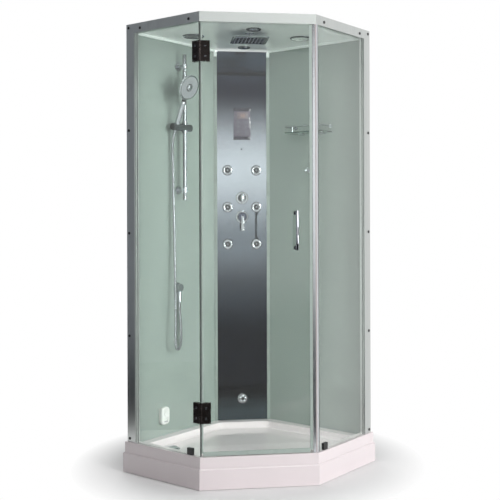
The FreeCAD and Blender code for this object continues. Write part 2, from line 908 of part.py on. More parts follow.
def make_wall_glass(label, side):
    glass = side.new_body(label)
    start = S("upright_depth") - S("groove_depth")
    notch = RIM_EDGE - S("frame_inset") + S("fit_gap")
    outline = [(start, RIM), (notch, RIM), (notch, LEDGE), (WALL_END, LEDGE),
               (WALL_END, ROOF_UNDER), (start, ROOF_UNDER)]
    sketch = new_sketch(glass, f"{label}_sketch", GLASS_OUT, "XZ_Plane")
    draw_outline(sketch, [(along * side.flip, up) for along, up in outline])
    add_feature(glass, "Pad", f"{label}_pad", sketch, S("glass_thickness"))
    return glass


def make_column():
    column = new_body("column_panel", (ZERO, COLUMN_Y, ZERO))
    half = S("column_half_width") + S("column_lap")
    top = ROOF_UNDER - S("column_top_gap")
    sketch = new_sketch(column, "column_sketch", plane="XZ_Plane")
    draw_outline(sketch, [(-half, LEDGE), (half, LEDGE), (half, top), (-half, top)])
    add_feature(column, "Pad", "column_pad", sketch, S("column_thickness"), downward=True)
    for name, spots, width in COLUMN_HOLES:
        holes = new_sketch(column, f"{name}_holes_sketch", plane="XZ_Plane")
        for spot in spots:
            draw_circle(holes, spot, width / 2)
        add_feature(column, "Pocket", f"{name}_holes", holes, S("column_thickness"))
    return column


JET_SPOTS = [(S("jet_spread") * side, height) for height in
             (TOP_JET_UP, MIDDLE_JET_UP, LOW_JET_UP)
             for side in (-1, 1)]
VALVE_SPOTS = [(ZERO, DIVERTER_UP), (ZERO, MIXER_UP)]
COLUMN_HOLES = [
    ("jet", JET_SPOTS, S("jet_sleeve_width")),
    ("valve", VALVE_SPOTS, S("valve_stem_width")),
    ("foot_jet", [(ZERO, S("foot_jet_height"))], S("jet_sleeve_width")),
]


def make_wall_trims():
    proud = COLUMN_Y - S("column_profile_height")
    inner = S("column_half_width")
    outer = inner + S("column_profile_width")
    seat = back_corner(WALL_FACE)[1] - outer
    meet = inner + S("column_joint")
    things = []
    for name, side in (("left", -1), ("right", 1)):
        profile = new_body(f"{name}_column_profile")
        outline = [(inner, proud), (outer, proud), (outer, seat), (meet, COLUMN_Y),
                   (inner, COLUMN_Y)]
        pad_outline(profile, f"{name}_profile_pad", [(x * side, y) for x, y in outline], LEDGE,
                    ROOF_UNDER - S("trim_height"))
        things.append(profile)
    for name, side in (("left", LEFT_WALL), ("right", RIGHT_WALL)):
        spans = ((S("upright_depth"), WALL_END), (GLASS_IN, GLASS_IN + S("trim_depth")),
                 (ROOF_UNDER - S("trim_height"), ROOF_UNDER))
        things.append(side.new_box(f"{name}_top_trim", *spans))
    return fused("wall_trims", things)


nodes.append(make_wall_trims())
nodes.append(make_wall_glass("left_wall_glass", LEFT_WALL))
nodes.append(make_wall_glass("right_wall_glass", RIGHT_WALL))
nodes.append(make_column())

# Fixed glasses on the returns, bored for the hinge bolts on the left
HINGE_FEET = [S("low_hinge_foot"), TOTAL - S("high_hinge_drop")]
BOLT_SHARES = (0.25, 0.75)
LEAF_BOLT = (S("corner_gap") + S("fixed_leaf_width")) / 2


def make_fixed_glass(label, side, bores):
    start = S("upright_width") - S("groove_depth")
    spans = ((start, RETURN_LENGTH - S("corner_gap")), (GLASS_OUT, GLASS_IN),
             (RIM, RAIL_FOOT + S("groove_depth")))
    if not bores:
        return side.new_box(label, *spans)
    blank = side.new_box(f"{label}_blank", *spans)
    tools = []
    for number, foot in enumerate(HINGE_FEET):
        for share in BOLT_SHARES:
            spot = side.point(RETURN_LENGTH - LEAF_BOLT, GLASS_OUT,
                              foot + S("hinge_height") * share)
            tools.append(new_cylinder(f"{label}_bore_{number}", S("hinge_bolt") / 2
                                      + S("fit_gap"), S("glass_thickness"), spot,
                                      side.direction(0, 1, 0)))
    return cut_away(label, blank, tools)


nodes.append(make_fixed_glass("left_fixed_glass", LEFT_RETURN, True))
nodes.append(make_fixed_glass("right_fixed_glass", RIGHT_RETURN, False))


# Clips that hold the fixed glasses on the rim
def make_clips():
    plates = []
    for name, side in (("left", LEFT_RETURN), ("right", RIGHT_RETURN)):
        far = RETURN_LENGTH - S("clip_from_corner") + S("clip_width") / 2
        along = (far - S("clip_width"), far)
        up = (RIM, RIM + S("clip_height"))
        outer = (GLASS_OUT - S("clip_thickness"), GLASS_OUT)
        inner = (GLASS_IN, GLASS_IN + S("clip_thickness"))
        plates.append(side.new_box(f"{name}_outer_clip", along, outer, up))
        plates.append(side.new_box(f"{name}_inner_clip", along, inner, up))
    return fused("glass_clips", plates)


nodes.append(make_clips())


# Strike profile on the right front corner, where the door magnet closes
STRIKE_FACE = front_corner(S("frame_inset"))[0] - S("strike_width")


def make_strike():
    strike = new_body("strike_profile")
    inset, deep = S("frame_inset"), S("strike_depth")
    lap = RETURN_LENGTH - S("strike_lap")
    outline = [(STRIKE_FACE, Y_FRONT + inset), front_corner(inset),
               RIGHT_RETURN.point(lap, ZERO, ZERO)[:2], RIGHT_RETURN.point(lap, deep, ZERO)[:2],
               front_corner(inset + deep), (STRIKE_FACE, Y_FRONT + inset + deep)]
    pad_outline(strike, "strike_pad", outline, RIM, RAIL_FOOT)
    end = RETURN_LENGTH - S("corner_gap")
    groove = [RIGHT_RETURN.point(along, inward, ZERO)[:2] for along, inward in
              ((lap, GLASS_OUT), (end, GLASS_OUT), (end, GLASS_IN), (lap, GLASS_IN))]
    pocket_outline(strike, "strike_groove", groove, RIM, RAIL_FOOT)
    return strike


nodes.append(make_strike())


# Door: glass, magnet, seals, hinge leaves and handle, all about the left front corner
AXIS_X, AXIS_Y = mirrored(front_corner(S("frame_inset")))
DOOR_OUT = AXIS_Y + GLASS_OUT
DOOR_IN = AXIS_Y + GLASS_IN
DOOR_LEFT = AXIS_X + S("corner_gap")
DOOR_RIGHT = STRIKE_FACE - S("door_gap") - S("magnet_width")
DOOR_FOOT = RIM + S("door_foot_gap")
DOOR_TOP = RAIL_FOOT - S("door_top_gap")
HANDLE_X = S("handle_x")
HANDLE_MOUNTS = [S("handle_height") + S("handle_mounts") / 2 * side for side in (-1, 1)]


def door_bolt_spots():
    """Where the hinge bolts pass the door glass."""
    return [(AXIS_X + LEAF_BOLT, foot + S("hinge_height") * share)
            for foot in HINGE_FEET for share in BOLT_SHARES]


def make_door_glass():
    blank = new_box("door_blank", DOOR_RIGHT - DOOR_LEFT, S("glass_thickness"),
                    DOOR_TOP - DOOR_FOOT, (DOOR_LEFT, DOOR_OUT, DOOR_FOOT))
    spots = [(x, up, S("hinge_bolt")) for x, up in door_bolt_spots()]
    spots += [(HANDLE_X, up, S("handle_bolt")) for up in HANDLE_MOUNTS]
    tools = [new_cylinder("door_bore", width / 2 + S("fit_gap"), S("glass_thickness"),
                          (x, DOOR_OUT, up), (0, 1, 0)) for x, up, width in spots]
    return cut_away("door_glass", blank, tools)


def make_door_magnet():
    magnet = new_body("door_magnet")
    lip, lap, wide = S("seal_lip"), S("seal_lap"), S("magnet_width")
    outline = [(DOOR_RIGHT - lap, DOOR_OUT - lip), (DOOR_RIGHT + wide, DOOR_OUT - lip),
               (DOOR_RIGHT + wide, DOOR_IN + lip), (DOOR_RIGHT - lap, DOOR_IN + lip),
               (DOOR_RIGHT - lap, DOOR_IN), (DOOR_RIGHT, DOOR_IN), (DOOR_RIGHT, DOOR_OUT),
               (DOOR_RIGHT - lap, DOOR_OUT)]
    pad_outline(magnet, "magnet_pad", outline, DOOR_FOOT, DOOR_TOP)
    return magnet


def make_door_seals():
    lip, lap = S("seal_lip"), S("seal_lap")
    low = RIM + S("seal_foot_gap")
    start = DOOR_LEFT + S("hinge_seal_width")
    run = DOOR_RIGHT - lap - start
    deep = S("glass_thickness") + lip * 2
    strip = new_box("sweep_blank", run, deep, DOOR_FOOT + lap - low, (start, DOOR_OUT - lip, low))
    slot = new_box("sweep_slot", run, S("glass_thickness"), lap, (start, DOOR_OUT, DOOR_FOOT))
    things = [cut_away("door_sweep", strip, [slot])]
    high_top = HINGE_FEET[1] + S("hinge_height")
    low_top = HINGE_FEET[0] + S("hinge_height")
    gap = S("door_gap")
    spans = [(DOOR_FOOT, HINGE_FEET[0] - gap), (low_top + gap, HINGE_FEET[1] - gap),
             (high_top + gap, DOOR_TOP)]
    for foot, top in spans:
        corner = (DOOR_LEFT - S("hinge_seal_width"), DOOR_OUT, foot)
        things.append(new_box("hinge_seal", S("hinge_seal_width"), S("glass_thickness"),
                              top - foot, corner))
    return fused("door_seals", things)


nodes += [make_door_glass(), make_door_magnet(), make_door_seals()]


# Hinges: the fixed leaves carry the pins, the door leaves turn on them
def hinge_spans(foot):
    """Heights where the fixed knuckles and the door's knuckle lie."""
    quarter = S("hinge_height") / 4
    gap = S("fit_gap") / 2
    fixed = [(foot, foot + quarter - gap), (foot + quarter * 3 + gap, foot + quarter * 4)]
    return fixed, (foot + quarter + gap, foot + quarter * 3 - gap)


def knuckle(name, span, radius):
    """A round piece on the door's axis."""
    return new_cylinder(name, radius, span[1] - span[0], (AXIS_X, AXIS_Y, span[0]))


def make_fixed_leaves():
    round_ = S("knuckle_width") / 2
    clear = round_ + S("fit_gap")
    start, end = S("knuckle_web"), S("fixed_leaf_width")
    proud = S("leaf_thickness")
    leaves = []
    for foot in HINGE_FEET:
        fixed, moving = hinge_spans(foot)
        up = (foot, foot + S("hinge_height"))
        along = (RETURN_LENGTH - end, RETURN_LENGTH - start)
        outer = LEFT_RETURN.new_box("fixed_outer_leaf", along, (GLASS_OUT - proud, GLASS_OUT), up)
        room = knuckle("door_knuckle_room", moving, clear)
        plate = cut_away("fixed_plate", outer, [room])
        inner_along = (RETURN_LENGTH - end, RETURN_LENGTH - S("inner_leaf_gap"))
        inner = LEFT_RETURN.new_box("fixed_inner_leaf", inner_along,
                                    (GLASS_IN, GLASS_IN + S("inner_leaf_thickness")), up)
        pieces = [plate, inner]
        for share in BOLT_SHARES:
            spot = LEFT_RETURN.point(RETURN_LENGTH - LEAF_BOLT, GLASS_OUT - proud / 2,
                                     foot + S("hinge_height") * share)
            pieces.append(new_cylinder("fixed_leaf_bolt", S("hinge_bolt") / 2,
                                       S("glass_thickness") + proud,
                                       spot, LEFT_RETURN.direction(0, 1, 0)))
        pieces += [knuckle("fixed_knuckle", span, round_) for span in fixed]
        pieces.append(knuckle("hinge_pin", up, S("hinge_pin") / 2))
        leaves.append(fused("fixed_hinge", pieces))
    return fused("hinge_fixed_leaves", leaves)


def make_door_leaves():
    round_ = S("knuckle_width") / 2
    clear = round_ + S("fit_gap")
    start, end = S("knuckle_web"), S("door_leaf_width")
    proud = S("leaf_thickness")
    leaves = []
    for foot in HINGE_FEET:
        fixed, moving = hinge_spans(foot)
        high = S("hinge_height")
        plate = new_box("door_outer_leaf", end - start, proud, high,
                        (AXIS_X + start, DOOR_OUT - proud, foot))
        solid = fused("door_plate", [plate, knuckle("door_knuckle", moving, round_)])
        rooms = [knuckle("fixed_knuckle_room", span, clear) for span in fixed]
        rooms.append(knuckle("pin_bore", (foot, foot + high), S("hinge_pin") / 2
                             + S("running_fit")))
        pieces = [cut_away("door_leaf_plate", solid, rooms)]
        gap = S("inner_leaf_gap")
        pieces.append(new_box("door_inner_leaf", end - gap, S("inner_leaf_thickness"), high,
                              (AXIS_X + gap, DOOR_IN, foot)))
        for share in BOLT_SHARES:
            spot = (AXIS_X + LEAF_BOLT, DOOR_OUT - proud / 2, foot + high * share)
            pieces.append(new_cylinder("door_leaf_bolt", S("hinge_bolt") / 2,
                                       S("glass_thickness") + proud, spot, (0, 1, 0)))
        leaves.append(fused("door_hinge", pieces))
    return fused("hinge_door_leaves", leaves)


nodes += [make_fixed_leaves(), make_door_leaves()]


# Door handle: a bowed bar on two posts, bolted through the glass
def make_handle():
    half = S("handle_length") / 2
    bow = S("handle_bow")
    sweep = (half * half + bow * bow) / (bow * 2)
    turn_text = f"(2 * asin({half.text} / {sweep.text}))"
    turn = Size(math.degrees(2 * math.asin(half.value / sweep.value)), turn_text)
    out = DOOR_OUT - S("handle_standoff")
    bar = new_body("handle_bar", (HANDLE_X, out, S("handle_height")))
    sketch = new_sketch(bar, "bar_sketch")
    wide = S("handle_bar_width")
    draw_circle(sketch, (ZERO, ZERO), wide / 2)
    axis = Part.LineSegment(Vector(-wide.value, sweep.value, 0), Vector(wide.value, sweep.value, 0))
    index = sketch.addGeometry(axis, True)
    pin_point(sketch, index, 1, (-wide, sweep))
    pin_point(sketch, index, 2, (wide, sweep))
    turning = bar.newObject("PartDesign::Revolution", "bar_turning")
    turning.Profile = sketch
    turning.ReferenceAxis = (sketch, ["Axis0"])
    turning.Midplane = True
    bind(turning, "Angle", turn)
    pieces = [bar]
    for up in HANDLE_MOUNTS:
        spot = (HANDLE_X, DOOR_OUT, up)
        pieces.append(new_cylinder("handle_post", S("handle_post_width") / 2,
                                   S("handle_standoff") - bow / 2, spot, (0, -1, 0)))
        pieces.append(new_cylinder("handle_bolt", S("handle_bolt") / 2,
                                   S("glass_thickness") + S("handle_nut_height") / 2, spot,
                                   (0, 1, 0)))
        pieces.append(new_cylinder("handle_nut", S("handle_nut_width") / 2,
                                   S("handle_nut_height"), (HANDLE_X, DOOR_IN, up), (0, 1, 0)))
    return fused("door_handle", pieces)


nodes.append(make_handle())


# Black caps over the screws of the uprights and the side rails
def make_caps():
    high, wide = S("cap_height"), S("cap_width") / 2
    profile = [(ZERO, ZERO), (wide, ZERO), (wide, high / 2), (wide * 2 / 3, high), (ZERO, high)]
    caps = []
    steps = 4
    rise = (TOTAL - S("top_cap_drop") - S("low_cap_height")) / steps
    for side in (LEFT_RETURN, RIGHT_RETURN):
        spots = [(S("cap_from_corner"), S("low_cap_height") + rise * step)
                 for step in range(steps + 1)]
        rail_up = TOTAL - S("rail_cap_drop")
        spots += [(S("near_rail_cap"), rail_up), (S("far_rail_cap"), rail_up)]
        for along, up in spots:
            caps.append(turned_body("cap", profile, side.point(along, ZERO, up),
                                    side.direction(0, -1, 0)))
    return fused("screw_caps", caps)


nodes.append(make_caps())

# Ceiling: extractor fan with its grille, ring light, two downlights
def ring_of(name, outer, inner, height, point):
    """A flat ring standing up from a point."""
    disc = new_cylinder(f"{name}_disc", outer, height, point)
    hole = new_cylinder(f"{name}_hole", inner, height, point)
    return cut_away(name, disc, [hole])


def make_fan():
    point = (-S("fan_x"), Y_FRONT + S("fan_from_front"), ROOF_UNDER)
    flange = S("fan_width") / 2
    sleeve = flange - S("roof_flange") - S("fit_gap")
    wall, lip = S("fan_wall"), S("fan_lip")
    top = S("fan_height")
    mouth = sleeve - wall * 3
    shaft, boss = S("fan_shaft") / 2, S("fan_motor") / 2
    boss_foot = S("vane_foot") + S("vane_height") + wall
    bowl = turned_body("fan_bowl", [
        (mouth, -lip), (flange, -lip), (flange, ZERO), (sleeve, ZERO), (sleeve, top),
        (ZERO, top), (ZERO, S("vane_foot")), (shaft, S("vane_foot")), (shaft, boss_foot),
        (boss, boss_foot), (boss, top - wall), (sleeve - wall, top - wall),
        (sleeve - wall, ZERO), (mouth, ZERO)], point, (0, 0, 1))
    bar = S("grille_bar")
    low = (point[0], point[1], ROOF_UNDER - lip)
    pieces = [bowl]
    rings = 3
    for number in range(1, rings + 1):
        outer = mouth * number / (rings + 1)
        pieces.append(ring_of(f"grille_ring_{number}", outer, outer - bar, bar, low))
    for turn in (0, 60, 120):
        arm = math.radians(turn)
        across, ahead = math.cos(arm), math.sin(arm)
        corner = (point[0] - mouth * across + bar / 2 * ahead,
                  point[1] - mouth * ahead - bar / 2 * across, low[2])
        pieces.append(new_box(f"grille_arm_{turn}", mouth * 2, bar, bar, corner,
                              Rotation(Vector(0, 0, 1), turn)))
    housing = fused("fan_housing", pieces)

    hub = S("fan_hub") / 2
    foot, high = S("vane_foot") + wall / 2, S("vane_height")
    bore = shaft + S("running_fit")
    wheel = turned_body("fan_impeller", [(bore, foot), (hub, foot), (hub, foot + high),
                                         (bore, foot + high)], point, (0, 0, 1))
    tip = sleeve - wall - S("fan_tip_gap")
    thick = S("vane_thickness")
    vane = [(hub - thick, -thick), (tip * 0.96, -hub), (tip * 0.96, thick - hub),
            (hub - thick, thick)]
    vanes = pad_outline(wheel, "vane", vane, foot, foot + high)
    pattern = wheel.newObject("PartDesign::PolarPattern", "vanes")
    pattern.Originals = [vanes]
    pattern.Axis = (doc.getObject("vane_sketch"), ["N_Axis"])
    pattern.Angle = 360
    pattern.Occurrences = 9
    wheel.Tip = pattern
    return [housing, wheel]


def make_lamp(name, spot, width):
    """A round lamp in its roof opening: rim, diffuser and can."""
    radius = width / 2
    can = radius - S("roof_flange") - S("fit_gap")
    lip, rim = S("lamp_lip"), S("lamp_rim")
    return turned_body(name, [
        (ZERO, -lip / 3), (radius - rim, -lip / 3), (radius - rim * 0.8, -lip),
        (radius, -lip * 0.6), (radius, ZERO), (can, ZERO), (can, S("lamp_can_height")),
        (ZERO, S("lamp_can_height"))], (*spot, ROOF_UNDER), (0, 0, 1))


nodes += make_fan()
_, ring_light, front_light, rear_light = ROOF_FITTINGS
nodes.append(make_lamp("ceiling_light", *ring_light[1:]))
nodes.append(fused("downlights", [make_lamp("front_lamp", *front_light[1:]),
                                  make_lamp("rear_lamp", *rear_light[1:])]))


# Overhead shower: a short stem with a ball, and a square head that tilts on it
HEAD_AT = (-S("head_x"), Y_FRONT + S("head_from_front"))
BALL_UP = ROOF_UNDER - S("ball_drop")


def new_ball(name, radius, point):
    """A whole sphere."""
    ball = doc.addObject("Part::Sphere", name)
    bind(ball, "Radius", radius)
    place(ball, point)
    return ball


def make_overhead():
    ball = S("stem_ball") / 2
    thin, wide = S("stem_neck") / 2, S("stem_flange") / 2
    high = S("stem_flange_height")
    neck = turned_body("stem_neck_piece", [
        (ZERO, -S("ball_drop")), (thin, -S("ball_drop")), (thin, -high), (wide, -high / 2),
        (wide, ZERO), (ZERO, ZERO)], (*HEAD_AT, ROOF_UNDER), (0, 0, 1))
    stem = fused("overhead_stem", [neck, new_ball("stem_ball_piece", ball, (*HEAD_AT, BALL_UP))])

    half = S("head_width") / 2
    top = BALL_UP - ball + S("fit_gap")
    foot = top - S("head_thickness")
    head = new_body("head_plate", (*HEAD_AT, ZERO))
    square = [(-half, -half), (half, -half), (half, half), (-half, half)]
    plate = pad_outline(head, "plate", square, foot, top)
    inner = half.value
    ease_edges(head, "Fillet", "plate_corners", plate, S("head_round"),
               lambda spot: abs(abs(spot.x) - inner) < NEAR and abs(abs(spot.y) - inner) < NEAR)
    face = half - S("head_border")
    face_square = [(-face, -face), (face, -face), (face, face), (-face, face)]
    pocket_outline(head, "face_recess", face_square, foot, foot + S("face_recess_depth"))
    collar = new_cylinder("head_collar", ball + S("collar_wall"), ball + S("collar_rise"),
                          (*HEAD_AT, top))
    room = new_ball("head_socket", ball + S("fit_gap"), (*HEAD_AT, BALL_UP))
    whole = cut_away("overhead_head", fused("head_and_collar", [head, collar]), [room])
    return [stem, whole]


nodes += make_overhead()


# Touch panel on the column
def make_display():
    wide, high = S("display_width"), S("display_height")
    left = S("display_x") - wide / 2
    foot = TOTAL - S("display_drop") - high / 2
    proud, margin = S("display_depth"), S("display_border")
    bezel = new_body("display_bezel", (ZERO, COLUMN_Y, ZERO))
    sketch = new_sketch(bezel, "bezel_sketch", plane="XZ_Plane")
    draw_outline(sketch, [(left, foot), (left + wide, foot), (left + wide, foot + high),
                          (left, foot + high)])
    block = add_feature(bezel, "Pad", "bezel_pad", sketch, proud)
    ease_edges(bezel, "Fillet", "bezel_corners", block, S("display_round"),
               corner_test((left, left + wide), (foot, foot + high)))
    recess = new_sketch(bezel, "recess_sketch", proud, "XZ_Plane")
    draw_outline(recess, [(left + margin, foot + margin), (left + wide - margin, foot + margin),
                          (left + wide - margin, foot + high - margin),
                          (left + margin, foot + high - margin)])
    add_feature(bezel, "Pocket", "screen_recess", recess, S("screen_recess_depth"))
    back = COLUMN_Y - proud + S("screen_recess_depth")
    thick = S("screen_thickness")
    screen = new_box("display_screen", wide - margin * 2, thick, high - margin * 2,
                     (left + margin, back - thick, foot + margin))
    return [bezel, screen]


nodes += make_display()


# Body jets: a ring in the column for each ball nozzle
def jet_sleeve(depth):
    return S("jet_sleeve_width") / 2 - S("fit_gap"), -depth


def make_jets():
    ball = S("jet_ball_width") / 2
    bore = ball + S("fit_gap")
    sleeve, back = jet_sleeve(S("jet_sleeve_depth"))
    flange, proud = S("jet_ring_width") / 2, S("jet_ring_height")
    lip = S("jet_lip_width") / 2
    wall = S("jet_wall")
    rings, balls = [], []
    for number, (x, up) in enumerate(JET_SPOTS, start=1):
        rings.append(turned_body(f"jet_ring_{number}", [
            (ZERO, back), (sleeve, back), (sleeve, ZERO), (flange, ZERO), (flange, proud / 2),
            (flange - proud / 2, proud), (lip, proud), (lip, proud - wall), (bore, proud - wall),
            (bore, back + wall), (ZERO, back + wall)], (x, COLUMN_Y, up), (0, -1, 0)))
        centre = (x, COLUMN_Y + S("jet_ball_sink"), up)
        whole = new_ball(f"jet_ball_{number}_whole", ball, centre)
        front = COLUMN_Y + S("jet_ball_sink") - S("jet_ball_front")
        nose = new_cylinder(f"jet_nose_room_{number}", ball, ball, (x, front, up), (0, -1, 0))
        rear = COLUMN_Y + S("jet_ball_sink") + S("jet_ball_rear")
        tail = new_cylinder(f"jet_tail_room_{number}", ball, ball, (x, rear, up), (0, 1, 0))
        hole = new_cylinder(f"jet_hole_{number}", S("jet_hole_width") / 2, S("jet_hole_depth"),
                            (x, front, up), (0, 1, 0))
        balls.append(cut_away(f"jet_ball_{number}", whole, [nose, tail, hole]))
    return [fused("jet_rings", rings), *balls]


def make_foot_jet():
    sleeve, back = jet_sleeve(S("jet_sleeve_depth"))
    flange, proud = S("jet_ring_width") / 2, S("jet_ring_height")
    lip = S("jet_lip_width") / 2
    return turned_body("foot_jet", [
        (ZERO, back), (sleeve, back), (sleeve, ZERO), (flange, ZERO), (flange, proud / 2),
        (flange - proud / 2, proud), (lip + proud / 2, proud), (lip, proud * 3 / 2),
        (ZERO, proud * 5 / 3)], (ZERO, COLUMN_Y, S("foot_jet_height")), (0, -1, 0))


nodes += make_jets()
nodes.append(make_foot_jet())


# Valves: two roses with spindles, the diverter knob, the mixer cap and its lever
ROSE_TOP = S("rose_height")
CAP_FACE = ROSE_TOP + S("fit_gap") + S("mixer_cap_height")


def make_valves():
    rose = S("rose_width") / 2
    spigot = S("valve_stem_width") / 2 - S("fit_gap")
    spindle = S("spindle_width") / 2
    tip = ROSE_TOP + S("spindle_height")
    roses = [turned_body(f"rose_{number}", [
        (ZERO, -S("spigot_depth")), (spigot, -S("spigot_depth")), (spigot, ZERO), (rose, ZERO),
        (rose, ROSE_TOP / 2), (rose - ROSE_TOP / 2, ROSE_TOP), (spindle, ROSE_TOP),
        (spindle, tip), (ZERO, tip)], (x, COLUMN_Y, up), (0, -1, 0))
        for number, (x, up) in enumerate(VALVE_SPOTS, start=1)]
    bore = spindle + S("running_fit")
    low = ROSE_TOP + S("fit_gap")
    knob, high = S("diverter_width") / 2, S("diverter_depth")
    diverter = turned_body("diverter_turning_piece", [
        (bore, low), (knob, low), (knob, low + high / 2), (knob * 0.85, low + high),
        (ZERO, low + high), (ZERO, tip + S("fit_gap")), (bore, tip + S("fit_gap"))],
        (ZERO, COLUMN_Y, DIVERTER_UP), (0, -1, 0))
    grip = S("grip_width")
    wing = new_box("diverter_wing", grip, S("grip_depth"), knob * 2 + grip,
                   (-grip / 2, COLUMN_Y - low - high - S("grip_depth"),
                    DIVERTER_UP - knob - grip / 2))
    turned = fused("diverter_knob", [diverter, wing])

    cap = S("mixer_cap_width") / 2
    dome = turned_body("mixer_dome", [
        (bore, low), (cap, low), (cap, CAP_FACE * 0.75), (cap * 0.8, CAP_FACE), (ZERO, CAP_FACE),
        (ZERO, tip + S("fit_gap")), (bore, tip + S("fit_gap"))],
        (ZERO, COLUMN_Y, MIXER_UP), (0, -1, 0))
    hub, ear = S("lever_hub_width") / 2, S("ear_thickness")
    hub_half = S("lever_width") / 2
    hub_y = COLUMN_Y - CAP_FACE - hub - S("lever_back_gap")
    ears = []
    for side in (-1, 1):
        edge = (hub_half + S("fit_gap")) * side
        x = edge if side > 0 else edge - ear
        ears.append(new_box("lever_ear", ear, hub * 2 + S("lever_back_gap"), hub * 2,
                            (x, hub_y - hub, MIXER_UP - hub)))
    reach = hub_half + S("fit_gap") + ear
    pin = new_cylinder("lever_pin", S("lever_pin_width") / 2, reach * 2,
                       (-reach, hub_y, MIXER_UP), (1, 0, 0))
    cap_node = fused("mixer_cap", [dome, *ears, pin])

    barrel = new_cylinder("lever_hub", hub, hub_half * 2, (-hub_half, hub_y, MIXER_UP),
                          (1, 0, 0))
    thick = S("lever_thickness")
    arm = new_box("lever_arm", hub_half * 2, thick, S("lever_length"),
                  (-hub_half, hub_y - hub, MIXER_UP - S("lever_length")))
    room = new_cylinder("lever_bore", S("lever_pin_width") / 2 + S("running_fit"), hub_half * 2,
                        (-hub_half, hub_y, MIXER_UP), (1, 0, 0))
    lever = cut_away("mixer_lever", fused("lever_and_hub", [barrel, arm]), [room])
    return [fused("valve_roses", roses), turned, cap_node, lever]


nodes += make_valves()


# Behind the column: the valve manifold with its inlets, and the steam generator
def make_manifold():
    half = S("manifold_width") / 2
    near = COLUMN_Y + S("spigot_depth")
    foot = MIXER_UP - S("manifold_overlap")
    high = DIVERTER_UP + S("manifold_overlap") - foot
    block = new_box("manifold_block", half * 2, S("manifold_depth"), high, (-half, near, foot))
    pieces = [block]
    for side in (-1, 1):
        spot = (S("inlet_spread") / 2 * side, near + S("manifold_depth"), foot + S("inlet_width"))
        pieces.append(new_cylinder("inlet", S("inlet_width") / 2, S("inlet_length"), spot,
                                   (0, 1, 0)))
    return fused("valve_manifold", pieces)


def make_generator():
    half = S("generator_width") / 2
    back = COLUMN_Y + S("column_thickness")
    return new_box("steam_generator", half * 2, S("generator_depth"), S("generator_height"),
                   (-half, back, S("generator_foot")))


nodes += [make_manifold(), make_generator()]

# Steam outlet low on the left wall
def make_steam_outlet():
    outlet = LEFT_WALL.new_body("steam_outlet")
    half = S("outlet_box_width") / 2
    left, right = S("outlet_box_along") - half, S("outlet_box_along") + half
    low = S("outlet_box_up") - S("outlet_box_height") / 2
    high = low + S("outlet_box_height")
    sketch = new_sketch(outlet, "outlet_sketch", GLASS_IN, "XZ_Plane")
    draw_outline(sketch, [(left, low), (right, low), (right, high), (left, high)])
    block = add_feature(outlet, "Pad", "outlet_pad", sketch, S("outlet_box_depth"))
    front = -(GLASS_IN + S("outlet_box_depth")).value
    sides = ease_edges(outlet, "Fillet", "outlet_corners", block, S("outlet_corner_round"),
                       corner_test((left, right), (low, high)))
    ease_edges(outlet, "Fillet", "outlet_front", sides, S("outlet_box_round"),
               lambda spot: abs(spot.y - front) < NEAR)
    slots = new_sketch(outlet, "slot_sketch", GLASS_IN + S("outlet_box_depth"), "XZ_Plane")
    slot, count = S("outlet_slot"), 3
    for number in range(count):
        foot = low + slot * (2 + number * 2)
        draw_outline(slots, [(left + slot * 3, foot), (right - slot * 3, foot),
                             (right - slot * 3, foot + slot), (left + slot * 3, foot + slot)])
    add_feature(outlet, "Pocket", "steam_slots", slots, slot)
    return outlet


nodes.append(make_steam_outlet())


# Slide rail on the left wall, with its brackets and the slider
RAIL_ALONG = S("slide_along")
RAIL_OUT = S("slide_out")
AXIS_UP = TOTAL - S("slider_drop")
WALL_ALONG = LEFT_WALL.direction(1, 0, 0)
WALL_INWARD = LEFT_WALL.direction(0, 1, 0)


def wall_cylinder(name, radius, height, place_on_wall, direction):
    """A cylinder at a place on the left wall: along, inward, up."""
    return new_cylinder(name, radius, height, LEFT_WALL.point(*place_on_wall), direction)


def make_slide():
    radius = S("slide_width") / 2
    low, high = TOTAL - S("slide_foot_drop"), TOTAL - S("slide_top_drop")
    rail = wall_cylinder("slide_rail", radius, high - low, (RAIL_ALONG, RAIL_OUT, low), (0, 0, 1))
    brackets = []
    for up in (TOTAL - S("low_bracket_drop"), TOTAL - S("high_bracket_drop")):
        arm = wall_cylinder("bracket_arm", S("bracket_width") / 2, RAIL_OUT - GLASS_IN,
                            (RAIL_ALONG, GLASS_IN, up), WALL_INWARD)
        foot = wall_cylinder("bracket_foot", S("bracket_foot_width") / 2, S("bracket_foot_depth"),
                             (RAIL_ALONG, GLASS_IN, up), WALL_INWARD)
        collar_high = S("bracket_collar_height")
        collar = wall_cylinder("bracket_collar", radius + S("bracket_wall"), collar_high,
                               (RAIL_ALONG, RAIL_OUT, up - collar_high / 2), (0, 0, 1))
        bore = wall_cylinder("bracket_bore", radius + S("running_fit"), collar_high,
                             (RAIL_ALONG, RAIL_OUT, up - collar_high / 2), (0, 0, 1))
        brackets.append(cut_away("bracket", fused("bracket_blank", [arm, foot, collar]), [bore]))
    return [rail, fused("rail_brackets", brackets)]


HOLDER_ALONG = RAIL_ALONG - S("holder_from_rail")
HOLDER_END = HOLDER_ALONG + S("holder_length") / 2
HOLDER_START = HOLDER_ALONG - S("holder_length") / 2


